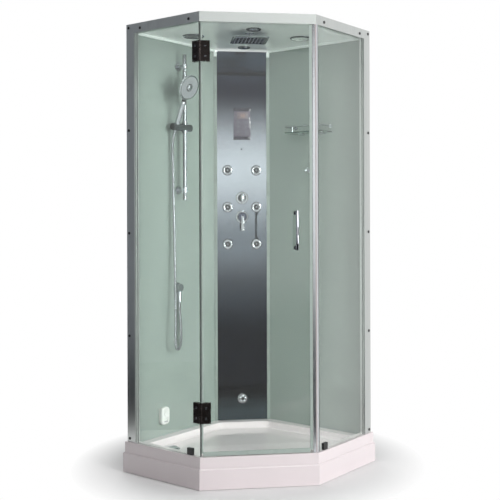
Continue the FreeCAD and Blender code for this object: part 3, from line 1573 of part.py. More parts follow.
def make_slider():
    barrel = S("barrel_width") / 2
    start = HOLDER_END + S("fit_gap")
    body = wall_cylinder("slider_barrel", barrel, S("slider_length"),
                         (start, RAIL_OUT, AXIS_UP), WALL_ALONG)
    stub = wall_cylinder("slider_stub", S("stub_width") / 2, S("stub_length") + S("fit_gap"),
                         (HOLDER_END - S("stub_length"), RAIL_OUT, AXIS_UP), WALL_ALONG)
    collar_high = S("slider_collar_height")
    collar = wall_cylinder("slider_collar", S("slide_width") / 2 + S("slider_wall"), collar_high,
                           (RAIL_ALONG, RAIL_OUT, AXIS_UP - collar_high / 2), (0, 0, 1))
    bore = wall_cylinder("slider_bore", S("slide_width") / 2 + S("running_fit"), collar_high,
                         (RAIL_ALONG, RAIL_OUT, AXIS_UP - collar_high / 2), (0, 0, 1))
    return cut_away("slider", fused("slider_blank", [body, stub, collar]), [bore])


# Handset in its holder: it leans into the cabin and its face looks down at the bather
LEAN = math.radians(22.5)
HANDSET_DIRECTION = LEFT_WALL.direction(0, math.sin(LEAN), math.cos(LEAN))
FACE_DIRECTION = LEFT_WALL.direction(0, math.cos(LEAN), -math.sin(LEAN))
LEAN_OUT = Size(math.sin(LEAN), "sin(22.5 * 1 deg)")
LEAN_UP = Size(math.cos(LEAN), "cos(22.5 * 1 deg)")


def handset_spot(along_handle, along_face):
    """A point in the handset's middle plane, from the holder's axis."""
    inward = RAIL_OUT + LEAN_OUT * along_handle + LEAN_UP * along_face
    up = AXIS_UP + LEAN_UP * along_handle - LEAN_OUT * along_face
    return LEFT_WALL.point(HOLDER_ALONG, inward, up)


def cone_radius(reach):
    """The cone's radius at a place along the handle, from the holder's axis."""
    return S("cone_width") / 2 + reach * S("cone_slope")


def make_holder():
    barrel = S("barrel_width") / 2
    body = wall_cylinder("holder_barrel", barrel, S("holder_length"),
                         (HOLDER_START, RAIL_OUT, AXIS_UP), WALL_ALONG)
    knob = wall_cylinder("holder_knob", barrel - S("knob_step"), S("knob_length"),
                         (HOLDER_START - S("knob_length"), RAIL_OUT, AXIS_UP), WALL_ALONG)
    stub = wall_cylinder("stub_room", S("stub_width") / 2 + S("running_fit"), S("stub_length"),
                         (HOLDER_END - S("stub_length"), RAIL_OUT, AXIS_UP), WALL_ALONG)
    reach = barrel * 1.2
    cone = doc.addObject("Part::Cone", "cone_room")
    bind(cone, "Radius1", cone_radius(-reach) + S("fit_gap"))
    bind(cone, "Radius2", cone_radius(reach) + S("fit_gap"))
    bind(cone, "Height", reach * 2)
    place(cone, handset_spot(-reach, ZERO), aim(HANDSET_DIRECTION))
    return cut_away("handset_holder", fused("holder_blank", [body, knob]), [stub, cone])


def make_handset():
    tail, head = S("handset_tail"), S("handset_reach")
    grip = S("handle_grip_width") / 2
    nut = S("hose_nut_width") / 2
    cone_end = S("barrel_width") / 2 + S("fit_gap") * 4
    rim = S("spray_width") / 2
    front, back = S("spray_front"), S("spray_back")
    neck = front - S("spray_recess") - S("fit_gap") * 3
    handle = turned_body("handset_handle", [
        (ZERO, -tail), (nut, -tail), (nut, -cone_end), (cone_radius(-cone_end), -cone_end),
        (cone_radius(cone_end), cone_end), (grip, cone_end + grip), (grip * 0.9, head * 0.45),
        (grip, head * 0.6), (neck, head - rim * 1.15), (neck, head - rim / 2),
        (ZERO, head - rim / 2)],
        handset_spot(ZERO, ZERO), HANDSET_DIRECTION)
    face = rim - S("spray_border")
    bowl = turned_body("handset_bowl", [
        (ZERO, -back), (rim * 0.55, -back * 0.85), (rim * 0.9, -back / 4), (rim, front / 4),
        (rim, front * 0.8), (face + S("spray_border") / 2, front), (face, front),
        (face, front - S("spray_recess")), (ZERO, front - S("spray_recess"))],
        handset_spot(head, ZERO), FACE_DIRECTION)
    shell = fused("handset", [handle, bowl])
    knob = S("spray_knob_width") / 2
    plate = turned_body("spray_face", [
        (ZERO, ZERO), (face, ZERO), (face, S("spray_recess") * 0.8),
        (face * 0.9, S("spray_recess")), (knob, S("spray_recess")),
        (knob * 0.9, S("spray_recess") * 2), (ZERO, S("spray_recess") * 2)],
        handset_spot(head, front - S("spray_recess")), FACE_DIRECTION)
    return [shell, plate]


nodes += make_slide()
nodes.append(make_slider())
nodes.append(make_holder())
nodes += make_handset()


# Wall outlet for the hose, below the rail
def make_wall_outlet():
    along, up, out = S("elbow_along"), S("elbow_height"), S("elbow_out")
    rose = wall_cylinder("elbow_rose", S("elbow_rose_width") / 2, S("elbow_rose_depth"),
                         (along, GLASS_IN, up), WALL_INWARD)
    body = wall_cylinder("elbow_body", S("elbow_width") / 2,
                         out - GLASS_IN + S("elbow_nut_width") / 2 + S("elbow_cap"),
                         (along, GLASS_IN, up),
                         WALL_INWARD)
    nut = wall_cylinder("elbow_nut", S("elbow_nut_width") / 2, up - S("elbow_nut_foot"),
                        (along, out, S("elbow_nut_foot")), (0, 0, 1))
    return fused("wall_outlet", [rose, body, nut])


nodes.append(make_wall_outlet())


# Hose: the points of its route on the left wall, along, inward and up
HOSE_ROUTE = [
    (292.0, 49.28, 1691.13), (292.0, 35.9, 1658.8), (291.0, 32.5, 1610.0),
    (293.0, 34.0, 1520.0), (292.0, 38.0, 1360.0), (294.0, 42.0, 1180.0), (292.0, 47.0, 1000.0),
    (286.0, 56.0, 870.0), (275.0, 68.0, 760.0), (268.0, 73.0, 690.0), (264.5, 75.5, 645.0),
    (265.0, 75.0, 596.5), (290.0, 63.0, 569.0), (325.0, 46.0, 569.0), (350.0, 34.0, 596.5),
    (351.5, 33.0, 640.0), (350.0, 31.0, 705.0), (345.0, 28.0, 770.0), (345.0, 28.0, 812.0)]
ARC_SHARE = 0.45


def hose_path(points):
    """Straight runs joined by arcs as large as the two runs beside each allow."""
    edges, radii = [], []
    start = points[0]
    for before, corner, after in zip(points, points[1:], points[2:]):
        back, ahead = before - corner, after - corner
        run = ARC_SHARE * min(back.Length, ahead.Length)
        back.normalize()
        ahead.normalize()
        half_turn = (math.pi - back.getAngle(ahead)) / 2
        radius = run / math.tan(half_turn)
        radii.append(radius)
        enter, leave = corner + back * run, corner + ahead * run
        inner = (back + ahead).normalize()
        middle = corner + inner * (radius / math.cos(half_turn) - radius)
        edges.append(Part.LineSegment(start, enter).toShape())
        edges.append(Part.Arc(enter, middle, leave).toShape())
        start = leave
    edges.append(Part.LineSegment(start, points[-1]).toShape())
    return Part.Wire(edges), radii


ROUTE_TOP = HOSE_ROUTE[0][2]
ROUTE_FOOT = HOSE_ROUTE[-1][2]


def route_up(up):
    """A route height: above the wall outlet it stretches with the handset's own height."""
    tail = AXIS_UP - LEAN_UP * S("handset_tail")
    stretch = (tail - S("elbow_nut_foot")) / (ROUTE_TOP - ROUTE_FOOT) if up > ROUTE_FOOT else 1
    return S("elbow_nut_foot") + (up - ROUTE_FOOT) * stretch


def make_hose():
    spots = [LEFT_WALL.point(along, inward, route_up(up)) for along, inward, up in HOSE_ROUTE]
    points = [Vector(*[as_size(part).value for part in spot]) for spot in spots]
    path, radii = hose_path(points)
    radius = S("hose_width").value / 2
    first = points[1] - points[0]
    section = Part.Wire(Part.makeCircle(radius, points[0], first))
    tube = path.makePipeShell([section], True, False)
    expected = math.pi * radius ** 2 * path.Length
    print("hose radii:", [round(value) for value in radii])
    print(f"hose length {path.Length:.0f}, volume share {tube.Volume / expected:.4f}")
    return add_solid("shower_hose", tube)


nodes.append(make_hose())


# Shelf on the right wall: glass, gallery rail with brackets, and the robe hook under it
def right_cylinder(name, radius, height, place_on_wall, direction):
    """A cylinder at a place on the right wall."""
    return new_cylinder(name, radius, height, RIGHT_WALL.point(*place_on_wall), direction)


def make_shelf():
    start, end = S("shelf_along"), S("shelf_along") + S("shelf_length")
    back = GLASS_IN + S("shelf_back_gap")
    far = back + S("shelf_depth")
    up, thick = S("shelf_height"), S("shelf_thickness")
    glass = RIGHT_WALL.new_body("shelf_glass")
    outline = [(start, back), (end, back), (end, far), (start, far)]
    plate = pad_outline(glass, "shelf_pad", [RIGHT_WALL.local(*spot) for spot in outline], up,
                        up + thick)
    front = -far.value
    ease_edges(glass, "Fillet", "shelf_corners", plate, S("shelf_round"),
               lambda spot: abs(spot.y - front) < NEAR
               and abs(spot.x + start.value) * abs(spot.x + end.value) < NEAR)

    wire = S("gallery_width") / 2
    inset = S("gallery_inset")
    left, right = start + inset, end - inset
    out = far - inset
    rail_up = up + thick + S("gallery_height")
    along = RIGHT_WALL.direction(1, 0, 0)
    inward = RIGHT_WALL.direction(0, 1, 0)
    pieces = [right_cylinder("gallery_front", wire, right - left, (left, out, rail_up), along)]
    for name, spot in (("near", left), ("far", right)):
        pieces.append(right_cylinder(f"gallery_{name}_side", wire, out - GLASS_IN,
                                     (spot, GLASS_IN, rail_up), inward))
        pieces.append(right_cylinder(f"gallery_{name}_rose", wire * 3, wire * 2,
                                     (spot, GLASS_IN, rail_up), inward))
        pieces.append(new_ball(f"gallery_{name}_corner", wire,
                               RIGHT_WALL.point(spot, out, rail_up)))
    tools = []
    for name, spot in (("near", S("near_bracket")), ("far", S("far_bracket"))):
        pieces.append(right_cylinder(f"{name}_post", wire, S("gallery_height"),
                                     (spot, out, up + thick), (0, 0, 1)))
    rail = fused("gallery_wire", pieces)
    blocks = []
    half, reach = S("clamp_width") / 2, S("clamp_reach")
    for name, spot in (("near", S("near_bracket")), ("far", S("far_bracket"))):
        blocks.append(RIGHT_WALL.new_box(f"{name}_clamp", (spot - half, spot + half),
                                         (GLASS_IN, back + reach),
                                         (up - S("clamp_wall"), up + thick + S("clamp_wall"))))
        tools.append(RIGHT_WALL.new_box(f"{name}_clamp_slot", (spot - half, spot + half),
                                        (back, back + reach), (up, up + thick)))
    clamps = cut_away("shelf_clamps", fused("clamp_blocks", blocks), tools)
    return [glass, fused("shelf_rail", [rail, clamps])]


def make_hook():
    inward = RIGHT_WALL.direction(0, 1, 0)
    point = RIGHT_WALL.point(S("hook_along"), GLASS_IN, S("hook_height"))
    rose, stem = S("hook_rose_width") / 2, S("hook_stem_width") / 2
    knob, base, reach = S("hook_knob_width") / 2, S("hook_rose_depth"), S("hook_depth")
    return turned_body("robe_hook", [
        (ZERO, ZERO), (rose, ZERO), (rose, base), (stem, base), (stem, reach - knob),
        (knob, reach - knob / 2), (knob * 2 / 3, reach), (ZERO, reach)], point, inward)


nodes += make_shelf()
nodes.append(make_hook())

# Check every object, then write each sub-part's own file
doc.recompute()
faults = [item.Name for item in doc.Objects
          if any(word in item.State for word in ("Invalid", "Error"))]
for node in nodes:
    if node.Shape.isNull() or not node.Shape.isValid():
        faults.append(node.Label)
if faults:
    raise RuntimeError(f"objects that failed: {sorted(set(faults))}")
os.makedirs("parts", exist_ok=True)
for node in nodes:
    node.Shape.exportStep(f"parts/{node.Label}.step")
print(f"{len(nodes)} sub-parts written")
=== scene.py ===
# %% [markdown]
# # Dressing a corner steam-shower cabin
#
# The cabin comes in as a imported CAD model: a white moulded tray, opal glass walls, a mirrored
# service column, clear glass at the front and a hinged door. Its bodies and places are fixed.
# This lesson gives it finishes and the small shapes that the plain solids leave out.
# Everything is in metres, x to the right, y into the corner and z up.

# %% The fixed frame
import math

import bpy
from mathutils import Matrix, Vector


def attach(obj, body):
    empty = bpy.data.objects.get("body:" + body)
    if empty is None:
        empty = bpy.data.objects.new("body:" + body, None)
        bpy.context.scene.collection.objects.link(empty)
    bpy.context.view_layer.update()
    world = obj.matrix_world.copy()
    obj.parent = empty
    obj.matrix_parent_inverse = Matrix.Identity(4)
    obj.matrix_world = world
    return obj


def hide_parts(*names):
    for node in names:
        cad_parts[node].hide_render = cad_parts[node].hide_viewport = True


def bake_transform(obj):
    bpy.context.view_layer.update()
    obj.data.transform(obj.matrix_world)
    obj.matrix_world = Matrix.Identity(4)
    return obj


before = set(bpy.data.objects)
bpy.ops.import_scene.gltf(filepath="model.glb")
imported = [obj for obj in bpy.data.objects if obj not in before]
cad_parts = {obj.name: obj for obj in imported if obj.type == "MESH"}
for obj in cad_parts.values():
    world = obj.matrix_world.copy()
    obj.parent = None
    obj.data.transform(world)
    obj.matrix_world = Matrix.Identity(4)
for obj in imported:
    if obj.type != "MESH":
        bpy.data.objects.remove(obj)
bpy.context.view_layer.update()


def rounded(numbers):
    """Numbers short enough to print."""
    return [round(number, 4) for number in numbers]


# %% [markdown]
# ## The camera
#
# The picture was taken from a little below shoulder height, about four and a half metres away,
# with the camera held level. A level camera keeps the uprights parallel, and the picture is then
# framed by shifting the lens. A small turn about the line of sight matches its slight lean.

# %% The camera
PICTURE = 500
CAMERA_PLACE = Vector((-0.4786, -4.4725, 1.2644))
CAMERA_TURN = math.radians(-7.795)
CAMERA_LEAN = -0.0033
FOCAL_PIXELS = 870.96
CENTRE_PIXEL = (273.88, 214.44)


def placed(name, data):
    """A new object with this data, in the scene."""
    made = bpy.data.objects.new(name, data)
    bpy.context.scene.collection.objects.link(made)
    return made


lens = bpy.data.cameras.new("studio_camera")
camera = placed("studio_camera", lens)
lens.sensor_width = 36
lens.lens = FOCAL_PIXELS * lens.sensor_width / PICTURE
lens.shift_x = 0.5 - CENTRE_PIXEL[0] / PICTURE
lens.shift_y = CENTRE_PIXEL[1] / PICTURE - 0.5
lens.clip_end = 60
upright = Matrix.Rotation(math.radians(90), 4, "X")
turned = Matrix.Rotation(CAMERA_TURN, 4, "Z") @ upright @ Matrix.Rotation(CAMERA_LEAN, 4, "Z")
camera.matrix_world = Matrix.Translation(CAMERA_PLACE) @ turned
bpy.context.scene.camera = camera
print("lens and shift", rounded((lens.lens, lens.shift_x, lens.shift_y)))

# %% [markdown]
# ## Places along the walls
#
# Both walls stand at 45 degrees, so a place on a wall is easiest to say as a distance along it
# from the front corner, and a distance into the room from its plane. One helper turns those two
# numbers and a height, in millimetres, into a point of the frame.

# %% Places on the walls
CORNER = Vector((0.61377, -0.12240, 0))
HALF_TURN = math.sqrt(0.5)


def on_left_wall(along, inward, height):
    """The point at a distance along the left wall and out of it, all in millimetres."""
    x = -CORNER.x + (along + inward) * HALF_TURN / 1000
    y = CORNER.y + (along - inward) * HALF_TURN / 1000
    return Vector((x, y, height / 1000))


def on_right_wall(along, inward, height):
    """The same place on the right wall, which mirrors the left one."""
    point = on_left_wall(along, inward, height)
    return Vector((-point.x, point.y, point.z))


HOLDER = on_left_wall(292, 60, 1717)
print("holder pivot", rounded(HOLDER))

# %% [markdown]
# ## The shower hose
#
# The hose is a 14 mm metal spiral tube, 1.42 m long. It leaves the elbow in the wall downwards,
# hangs in a narrow loop and climbs beside the rail to the handset. Its own weight makes the
# curve, so it is drawn as one smooth NURBS line through the air: the route's few points pull the
# line, and it never kinks. It is then made a mesh, because its upper end has to follow the
# slider while its lower end stays on the wall.

# %% The hose's line
HOSE_ROUTE = [
    (345, 28, 812), (345, 28, 770), (350, 31, 705), (351.5, 33, 640), (350, 34, 596.5),
    (325, 46, 569), (290, 63, 569), (265, 75, 596.5), (264.5, 75.5, 645), (268, 73, 690),
    (275, 68, 760), (286, 56, 870), (292, 47, 1000), (294, 42, 1180), (292, 38, 1360),
    (293, 34, 1520), (291, 32.5, 1610), (292, 35.9, 1658.8), (292, 49.28, 1691.13),
]
HOSE_DIAMETER = 0.014


def smooth_line(name, points):
    """A curve object with one NURBS spline through the air, pulled by the points."""
    curve = bpy.data.curves.new(name, "CURVE")
    curve.dimensions = "3D"
    spline = curve.splines.new("NURBS")
    spline.points.add(len(points) - 1)
    for control, place in zip(spline.points, points):
        control.co = (*place, 1)
    spline.order_u = 3
    spline.use_endpoint_u = True
    spline.resolution_u = 12
    return placed(name, curve)


def deselect():
    """Deselects every object, because an operator acts on all that is selected."""
    bpy.ops.object.select_all(action="DESELECT")


def alone(obj):
    """Selects one object and makes it the active one."""
    deselect()
    obj.select_set(True)
    bpy.context.view_layer.objects.active = obj


def line_points(curve_object):
    """The points of a curve that has no thickness yet, in their order."""
    plain = bpy.data.meshes.new_from_object(curve_object)
    points = [v.co.copy() for v in plain.vertices]
    bpy.data.meshes.remove(plain)
    return points


def line_length(points):
    """The length of a line of points."""
    return sum((b - a).length for a, b in zip(points, points[1:]))


hose = smooth_line("metal_hose", [on_left_wall(*place) for place in HOSE_ROUTE])
hose_line = line_points(hose)
hose.data.bevel_depth = HOSE_DIAMETER / 2
hose.data.bevel_resolution = 5
hose.data.use_fill_caps = True
alone(hose)
bpy.ops.object.convert(target="MESH")
bpy.ops.object.shade_smooth()
print("hose length", round(line_length(hose_line), 4), "faces", len(hose.data.polygons))

# %% [markdown]
# On the cabin the hose goes up and down with the slider, and its last hand's breadth leans with
# the holder. The tube is cut level in two where it climbs straight, and each cut is filled, so
# both lengths stay closed. A piece can only follow one joint smoothly, so the tube is cut level
# in two where it climbs straight.

# %% The hose in two lengths
SEAM = on_left_wall(292, 34, 1560)
seam_at = max(i for i, point in enumerate(hose_line) if point.z < SEAM.z)
below, above = hose_line[seam_at], hose_line[seam_at + 1]
seam_point = below.lerp(above, (SEAM.z - below.z) / (above.z - below.z))
upper_hose = placed("metal_hose_top", hose.data.copy())


def edit_mode(on=True):
    """Goes into edit mode, or out of it again."""
    bpy.ops.object.mode_set(mode="EDIT" if on else "OBJECT")


def edit_all():
    """Goes into edit mode with everything picked."""
    edit_mode()
    bpy.ops.mesh.select_all(action="SELECT")


for piece, keep_top in ((hose, False), (upper_hose, True)):
    alone(piece)
    edit_all()
    bpy.ops.mesh.bisect(plane_co=SEAM, plane_no=(0, 0, 1), use_fill=True,
                        clear_inner=keep_top, clear_outer=not keep_top)
    edit_mode(False)
    print(piece.name, "faces", len(piece.data.polygons))

# %% The CAD hose hidden, and the two lengths
lower_line = hose_line[:seam_at + 1] + [seam_point]
upper_line = [seam_point] + hose_line[seam_at + 1:]
for piece, line in ((hose, lower_line), (upper_hose, upper_line)):
    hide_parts("shower_hose")
    print(piece.name, "length", round(line_length(line), 3))
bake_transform(hose)
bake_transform(upper_hose)

# %% [markdown]
# ## The room
#
# A plain floor and an even white surround. The floor is a wide sheet whose middle takes the
# cabin's soft shadow and whose rim fades to the white of the surround, so no horizon shows.

# %% Small helpers for materials
def from_screen(red, green, blue):
    """A colour as read on a screen, 0 to 255, as the linear colour that a shader takes."""
    parts = []
    for value in (red, green, blue):
        share = value / 255
        parts.append(share / 12.92 if share <= 0.04045 else ((share + 0.055) / 1.055) ** 2.4)
    return (*parts, 1)


def add_node(tree, kind, values=None, **settings):
    """One shader node with its settings, and with plain values on its named inputs."""
    made = tree.nodes.new("ShaderNode" + kind)
    for name, value in settings.items():
        setattr(made, name, value)
    for socket, value in (values or {}).items():
        made.inputs[socket].default_value = value
    return made


PAINTS = {}


def new_material(name):
    """A node material's tree and Principled shader. PAINTS keeps the material by its name."""
    made = bpy.data.materials.new(name)
    made.use_nodes = True
    PAINTS[name] = made
    return made.node_tree, made.node_tree.nodes["Principled BSDF"]


def wire(tree, *links):
    """Joins nodes. A link is a node, its output, the next node and that node's input."""
    for giver, output, taker, taken in links:
        tree.links.new(giver.outputs[output], taker.inputs[taken])


def set_plain(shader, **values):
    """Plain numbers and colours on the shader's own sockets."""
    for name, value in values.items():
        shader.inputs[name.replace("_", " ")].default_value = value


# %% The floor
def seen_ray(tree):
    """A node that gives 1 to the camera, to mirrors and through glass, and 0 to other light."""
    ray = add_node(tree, "LightPath")
    seen = add_node(tree, "Math", operation="MAXIMUM")
    seen_more = add_node(tree, "Math", operation="MAXIMUM")
    wire(tree, (ray, "Is Camera Ray", seen, 0), (ray, "Is Glossy Ray", seen, 1),
         (seen, 0, seen_more, 0), (ray, "Is Transmission Ray", seen_more, 1))
    return seen_more


def fade_to_white(tree, inner, outer):
    """Past the outer distance the camera sees plain white, and within the inner one the floor."""
    place = add_node(tree, "TexCoord")
    distance = add_node(tree, "VectorMath", operation="LENGTH")
    share = add_node(tree, "MapRange", {"From Min": inner, "From Max": outer})
    white = add_node(tree, "Emission", {"Color": (1, 1, 1, 1), "Strength": 1})
    both = add_node(tree, "Math", operation="MULTIPLY")
    mixed = add_node(tree, "MixShader")
    wire(tree, (place, "Object", distance, 0), (distance, "Value", share, "Value"),
         (seen_ray(tree), 0, both, 0), (share, "Result", both, 1), (both, 0, mixed, 0),
         (tree.nodes["Principled BSDF"], 0, mixed, 1), (white, 0, mixed, 2),
         (mixed, 0, tree.nodes["Material Output"], "Surface"))


FLOOR_SIZE = 24
FLOOR_DROP = 0.0005
FADE_FROM, FADE_TO = 0.6, 0.9
deselect()
bpy.ops.mesh.primitive_plane_add(size=FLOOR_SIZE, location=(0, 0, -FLOOR_DROP))
floor = bpy.context.object
floor.name = "studio_floor"
floor_tree, floor_shader = new_material("studio_floor")
set_plain(floor_shader, Base_Color=(0.93, 0.93, 0.93, 1), Roughness=0.9)
fade_to_white(floor_tree, FADE_FROM, FADE_TO)
floor.data.materials.append(PAINTS["studio_floor"])
print("floor", floor.name)

# %% [markdown]
# ## The light
#
# Soft lamps and an even surround, as in a catalogue studio: a large one to the right of the
# camera, a low one beside it that shines up under the roof, a narrow strip to the left that
# draws a bright line on chrome, one above and one behind. The surround looks white to the
# camera, to mirrors and through glass, but lights the cabin less than that, so white stays below
# the point where it would burn out. Chrome in an all-white room looks like white plastic, so
# dark boards that only gloss can see stand and lie round the cabin. The long one in front fades
# to white at its far end. Clear glass hides the boards, so the column's mirror shows that one
# only past an open door.

# %% The surround
world = bpy.data.worlds.new("studio_surround")
world.use_nodes = True
bpy.context.scene.world = world
sky = world.node_tree
sky.nodes.clear()
seen_sky = add_node(sky, "Background", {"Color": (1, 1, 1, 1), "Strength": 1})
lit_sky = add_node(sky, "Background", {"Color": (0.97, 0.985, 1, 1), "Strength": 0.16})
sky_mixed = add_node(sky, "MixShader")
sky_out = add_node(sky, "OutputWorld")
wire(sky, (seen_ray(sky), 0, sky_mixed, 0), (lit_sky, 0, sky_mixed, 1),
     (seen_sky, 0, sky_mixed, 2), (sky_mixed, 0, sky_out, "Surface"))
print("surround", world.name)


# %% Dark boards
def dark_card(name, place, turns, width, height, tint=0.032, fades=False):
    """A dark board that only shows in gloss. One that fades turns white towards its far end."""
    turns = [math.radians(angle) for angle in turns]
    deselect()
    bpy.ops.mesh.primitive_plane_add(size=1, location=place, rotation=turns)
    card = bpy.context.object
    card.name = name
    card.scale = (width, height, 1)
    for light in ("camera", "diffuse", "transmission", "shadow"):
        setattr(card, "visible_" + light, False)
    tree, shader = new_material(name)
    set_plain(shader, Base_Color=(tint * 0.95, tint, tint * 1.1, 1), Roughness=0.9,
              Specular_IOR_Level=0.0)
    if fades:
        here = add_node(tree, "TexCoord")
        apart = add_node(tree, "SeparateXYZ")
        share = add_node(tree, "MapRange", {"From Min": -0.5, "From Max": 0.2, "To Min": 1,
                                            "To Max": 0}, interpolation_type="SMOOTHSTEP")
        wire(tree, (here, "Object", apart, 0), (apart, "Y", share, "Value"),
             (share, "Result", shader, "Emission Strength"))
        set_plain(shader, Emission_Color=(1, 1, 1, 1))
    card.data.materials.append(PAINTS[name])


dark_card("left_card", (-3.6, -0.6, 1.8), (90, 0, 90), 4.2, 3.8, 0.36)
dark_card("right_card", (3.9, -1.7, 1.3), (90, 0, 90), 2.2, 2.8)
dark_card("high_card", (0, -5.6, 4.3), (70, 0, 0), 9.0, 2.6)
dark_card("low_card", (0, -7.6, 0.03), (0, 0, 0), 9.0, 13.0, 0.02, fades=True)
dark_card("left_low_card", (-2.5, 0.2, 0.03), (0, 0, 0), 2.4, 2.4)


# %% Lamps
def soft_lamp(name, place, aim, width, power, height=None):
    """A flat lamp that faces the point it is aimed at, square unless it has a height."""
    light = bpy.data.lights.new(name, "AREA")
    light.shape = "RECTANGLE"
    light.size = width
    light.size_y = height or width
    light.energy = power
    made = placed(name, light)
    made.location = place
    made.rotation_euler = (Vector(aim) - Vector(place)).to_track_quat("-Z", "Y").to_euler()


soft_lamp("main_lamp", (3.0, -4.1, 2.3), (0, 0, 0.9), 1.9, 146)
soft_lamp("low_lamp", (3.3, -3.2, 0.5), (-0.1, 0.1, 2.0), 1.6, 38, 0.6)
soft_lamp("strip_lamp", (-2.1, -4.2, 1.5), (0, 0, 1.2), 0.16, 3, 2.2)
soft_lamp("top_lamp", (0, -1.2, 4.4), (0, 0, 1.2), 2.4, 28)
soft_lamp("back_lamp", (-0.6, 4.4, 2.6), (0, 0, 1.0), 2.2, 55)
bpy.context.scene.view_settings.view_transform = "Standard"

# %% [markdown]
# ## Shared effects
#
# Three effects serve more than one finish, so each is one node group with named inputs: a fine
# unevenness of gloss and surface, a brushed grain along the height, and a mask for the edges
# that hands and cleaning wear first. They only put out numbers; every finish decides what to do
# with them.

# %% Effect: unevenness
def new_group(name, takes, gives):
    """An empty node group with float inputs and outputs, and its two end nodes."""
    group = bpy.data.node_groups.new(name, "ShaderNodeTree")
    for label, value in takes.items():
        socket = group.interface.new_socket(label, in_out="INPUT", socket_type="NodeSocketFloat")
        socket.default_value = value
    for label in gives:
        group.interface.new_socket(label, in_out="OUTPUT", socket_type="NodeSocketFloat")
    print("effect", name, "gives", *gives)
    return group, group.nodes.new("NodeGroupInput"), group.nodes.new("NodeGroupOutput")


uneven, uneven_in, uneven_out = new_group(
    "gloss_unevenness", {"Scale": 8.0, "Middle": 0.2, "Spread": 0.1, "Fine Scale": 300.0},
    ["Roughness", "Height", "Patches"])
uneven_place = add_node(uneven, "TexCoord")
patches = add_node(uneven, "TexNoise", {"Detail": 4.0, "Roughness": 0.6})
specks = add_node(uneven, "TexNoise", {"Detail": 2.0})
low_end = add_node(uneven, "Math", operation="SUBTRACT")
high_end = add_node(uneven, "Math", operation="ADD")
gloss = add_node(uneven, "MapRange", {"From Min": 0.3, "From Max": 0.7})
wire(uneven, (uneven_place, "Object", patches, "Vector"),
     (uneven_place, "Object", specks, "Vector"), (uneven_in, "Scale", patches, "Scale"),
     (uneven_in, "Fine Scale", specks, "Scale"), (uneven_in, "Middle", low_end, 0),
     (uneven_in, "Spread", low_end, 1), (uneven_in, "Middle", high_end, 0),
     (uneven_in, "Spread", high_end, 1), (patches, "Fac", gloss, "Value"),
     (low_end, 0, gloss, "To Min"), (high_end, 0, gloss, "To Max"),
     (gloss, "Result", uneven_out, "Roughness"), (specks, "Fac", uneven_out, "Height"),
     (patches, "Fac", uneven_out, "Patches"))

# %% Effect: brushed grain
brushed, brushed_in, brushed_out = new_group(
    "brushed_grain", {"Across": 900.0, "Along": 6.0}, ["Grain", "Streaks"])
brushed_place = add_node(brushed, "TexCoord")
brushed_stretch = add_node(brushed, "CombineXYZ")
brushed_scaled = add_node(brushed, "VectorMath", operation="MULTIPLY")
grain = add_node(brushed, "TexNoise", {"Scale": 1.0, "Detail": 3.0})
streaks = add_node(brushed, "TexNoise", {"Scale": 0.05, "Detail": 2.0})
for axis in ("X", "Y"):
    wire(brushed, (brushed_in, "Across", brushed_stretch, axis))
wire(brushed, (brushed_in, "Along", brushed_stretch, "Z"),
     (brushed_place, "Object", brushed_scaled, 0), (brushed_stretch, 0, brushed_scaled, 1),
     (brushed_scaled, 0, grain, "Vector"), (brushed_scaled, 0, streaks, "Vector"),
     (grain, "Fac", brushed_out, "Grain"), (streaks, "Fac", brushed_out, "Streaks"))

# %% Effect: worn edges
worn, worn_in, worn_out = new_group("worn_edges", {"Scale": 60.0, "Amount": 0.6}, ["Edge"])
worn_place = add_node(worn, "TexCoord")
worn_true = add_node(worn, "NewGeometry")
worn_round = add_node(worn, "Bevel", {"Radius": 0.0018}, samples=4)
worn_turn = add_node(worn, "VectorMath", operation="DOT_PRODUCT")
worn_range = add_node(worn, "MapRange", {"From Min": 0.999, "From Max": 0.9})
worn_noise = add_node(worn, "TexNoise", {"Detail": 4.0})
worn_broken = add_node(worn, "Math", operation="MULTIPLY")
worn_amount = add_node(worn, "Math", operation="MULTIPLY", use_clamp=True)
wire(worn, (worn_true, "Normal", worn_turn, 0), (worn_round, "Normal", worn_turn, 1),
     (worn_turn, "Value", worn_range, "Value"), (worn_place, "Object", worn_noise, "Vector"),
     (worn_in, "Scale", worn_noise, "Scale"), (worn_range, "Result", worn_broken, 0),
     (worn_noise, "Fac", worn_broken, 1), (worn_broken, 0, worn_amount, 0),
     (worn_in, "Amount", worn_amount, 1), (worn_amount, 0, worn_out, "Edge"))

# %% [markdown]
# ## A finish from shared parts
#
# Most finishes here are one shader with the same wiring: patches of slightly different gloss, a
# fine bump, and edges that are a little lighter or duller. One helper wires that, and each
# finish gives its own colours and amounts.


# %% Colours and bumps in a finish
MIX_SHARE, MIX_FIRST, MIX_SECOND, MIX_RESULT = 0, 6, 7, 2
BUMP_HEIGHT = 0.0005


def use_group(tree, group, **values):
    """Places a shared effect in a material, with this material's own values."""
    made = tree.nodes.new("ShaderNodeGroup")
    made.node_tree = group
    for name, value in values.items():
        made.inputs[name.replace("_", " ")].default_value = value
    return made


def mixed_colour(tree, giver, output, first, second):
    """A node with a colour between two, by an output that varies over the surface."""
    made = add_node(tree, "Mix", data_type="RGBA")
    wire(tree, (giver, output, made, MIX_SHARE))
    made.inputs[MIX_FIRST].default_value = from_screen(*first)
    made.inputs[MIX_SECOND].default_value = from_screen(*second)
    return made


def edged_colour(tree, shader, body, edge, wear):
    """The shader's colour: a body's, with another one where its edges are worn."""
    here = use_group(tree, worn, Amount=wear)
    made = add_node(tree, "Mix", data_type="RGBA")
    wire(tree, (here, "Edge", made, MIX_SHARE), (body, MIX_RESULT, made, MIX_FIRST),
         (made, MIX_RESULT, shader, "Base Color"))
    made.inputs[MIX_SECOND].default_value = from_screen(*edge)


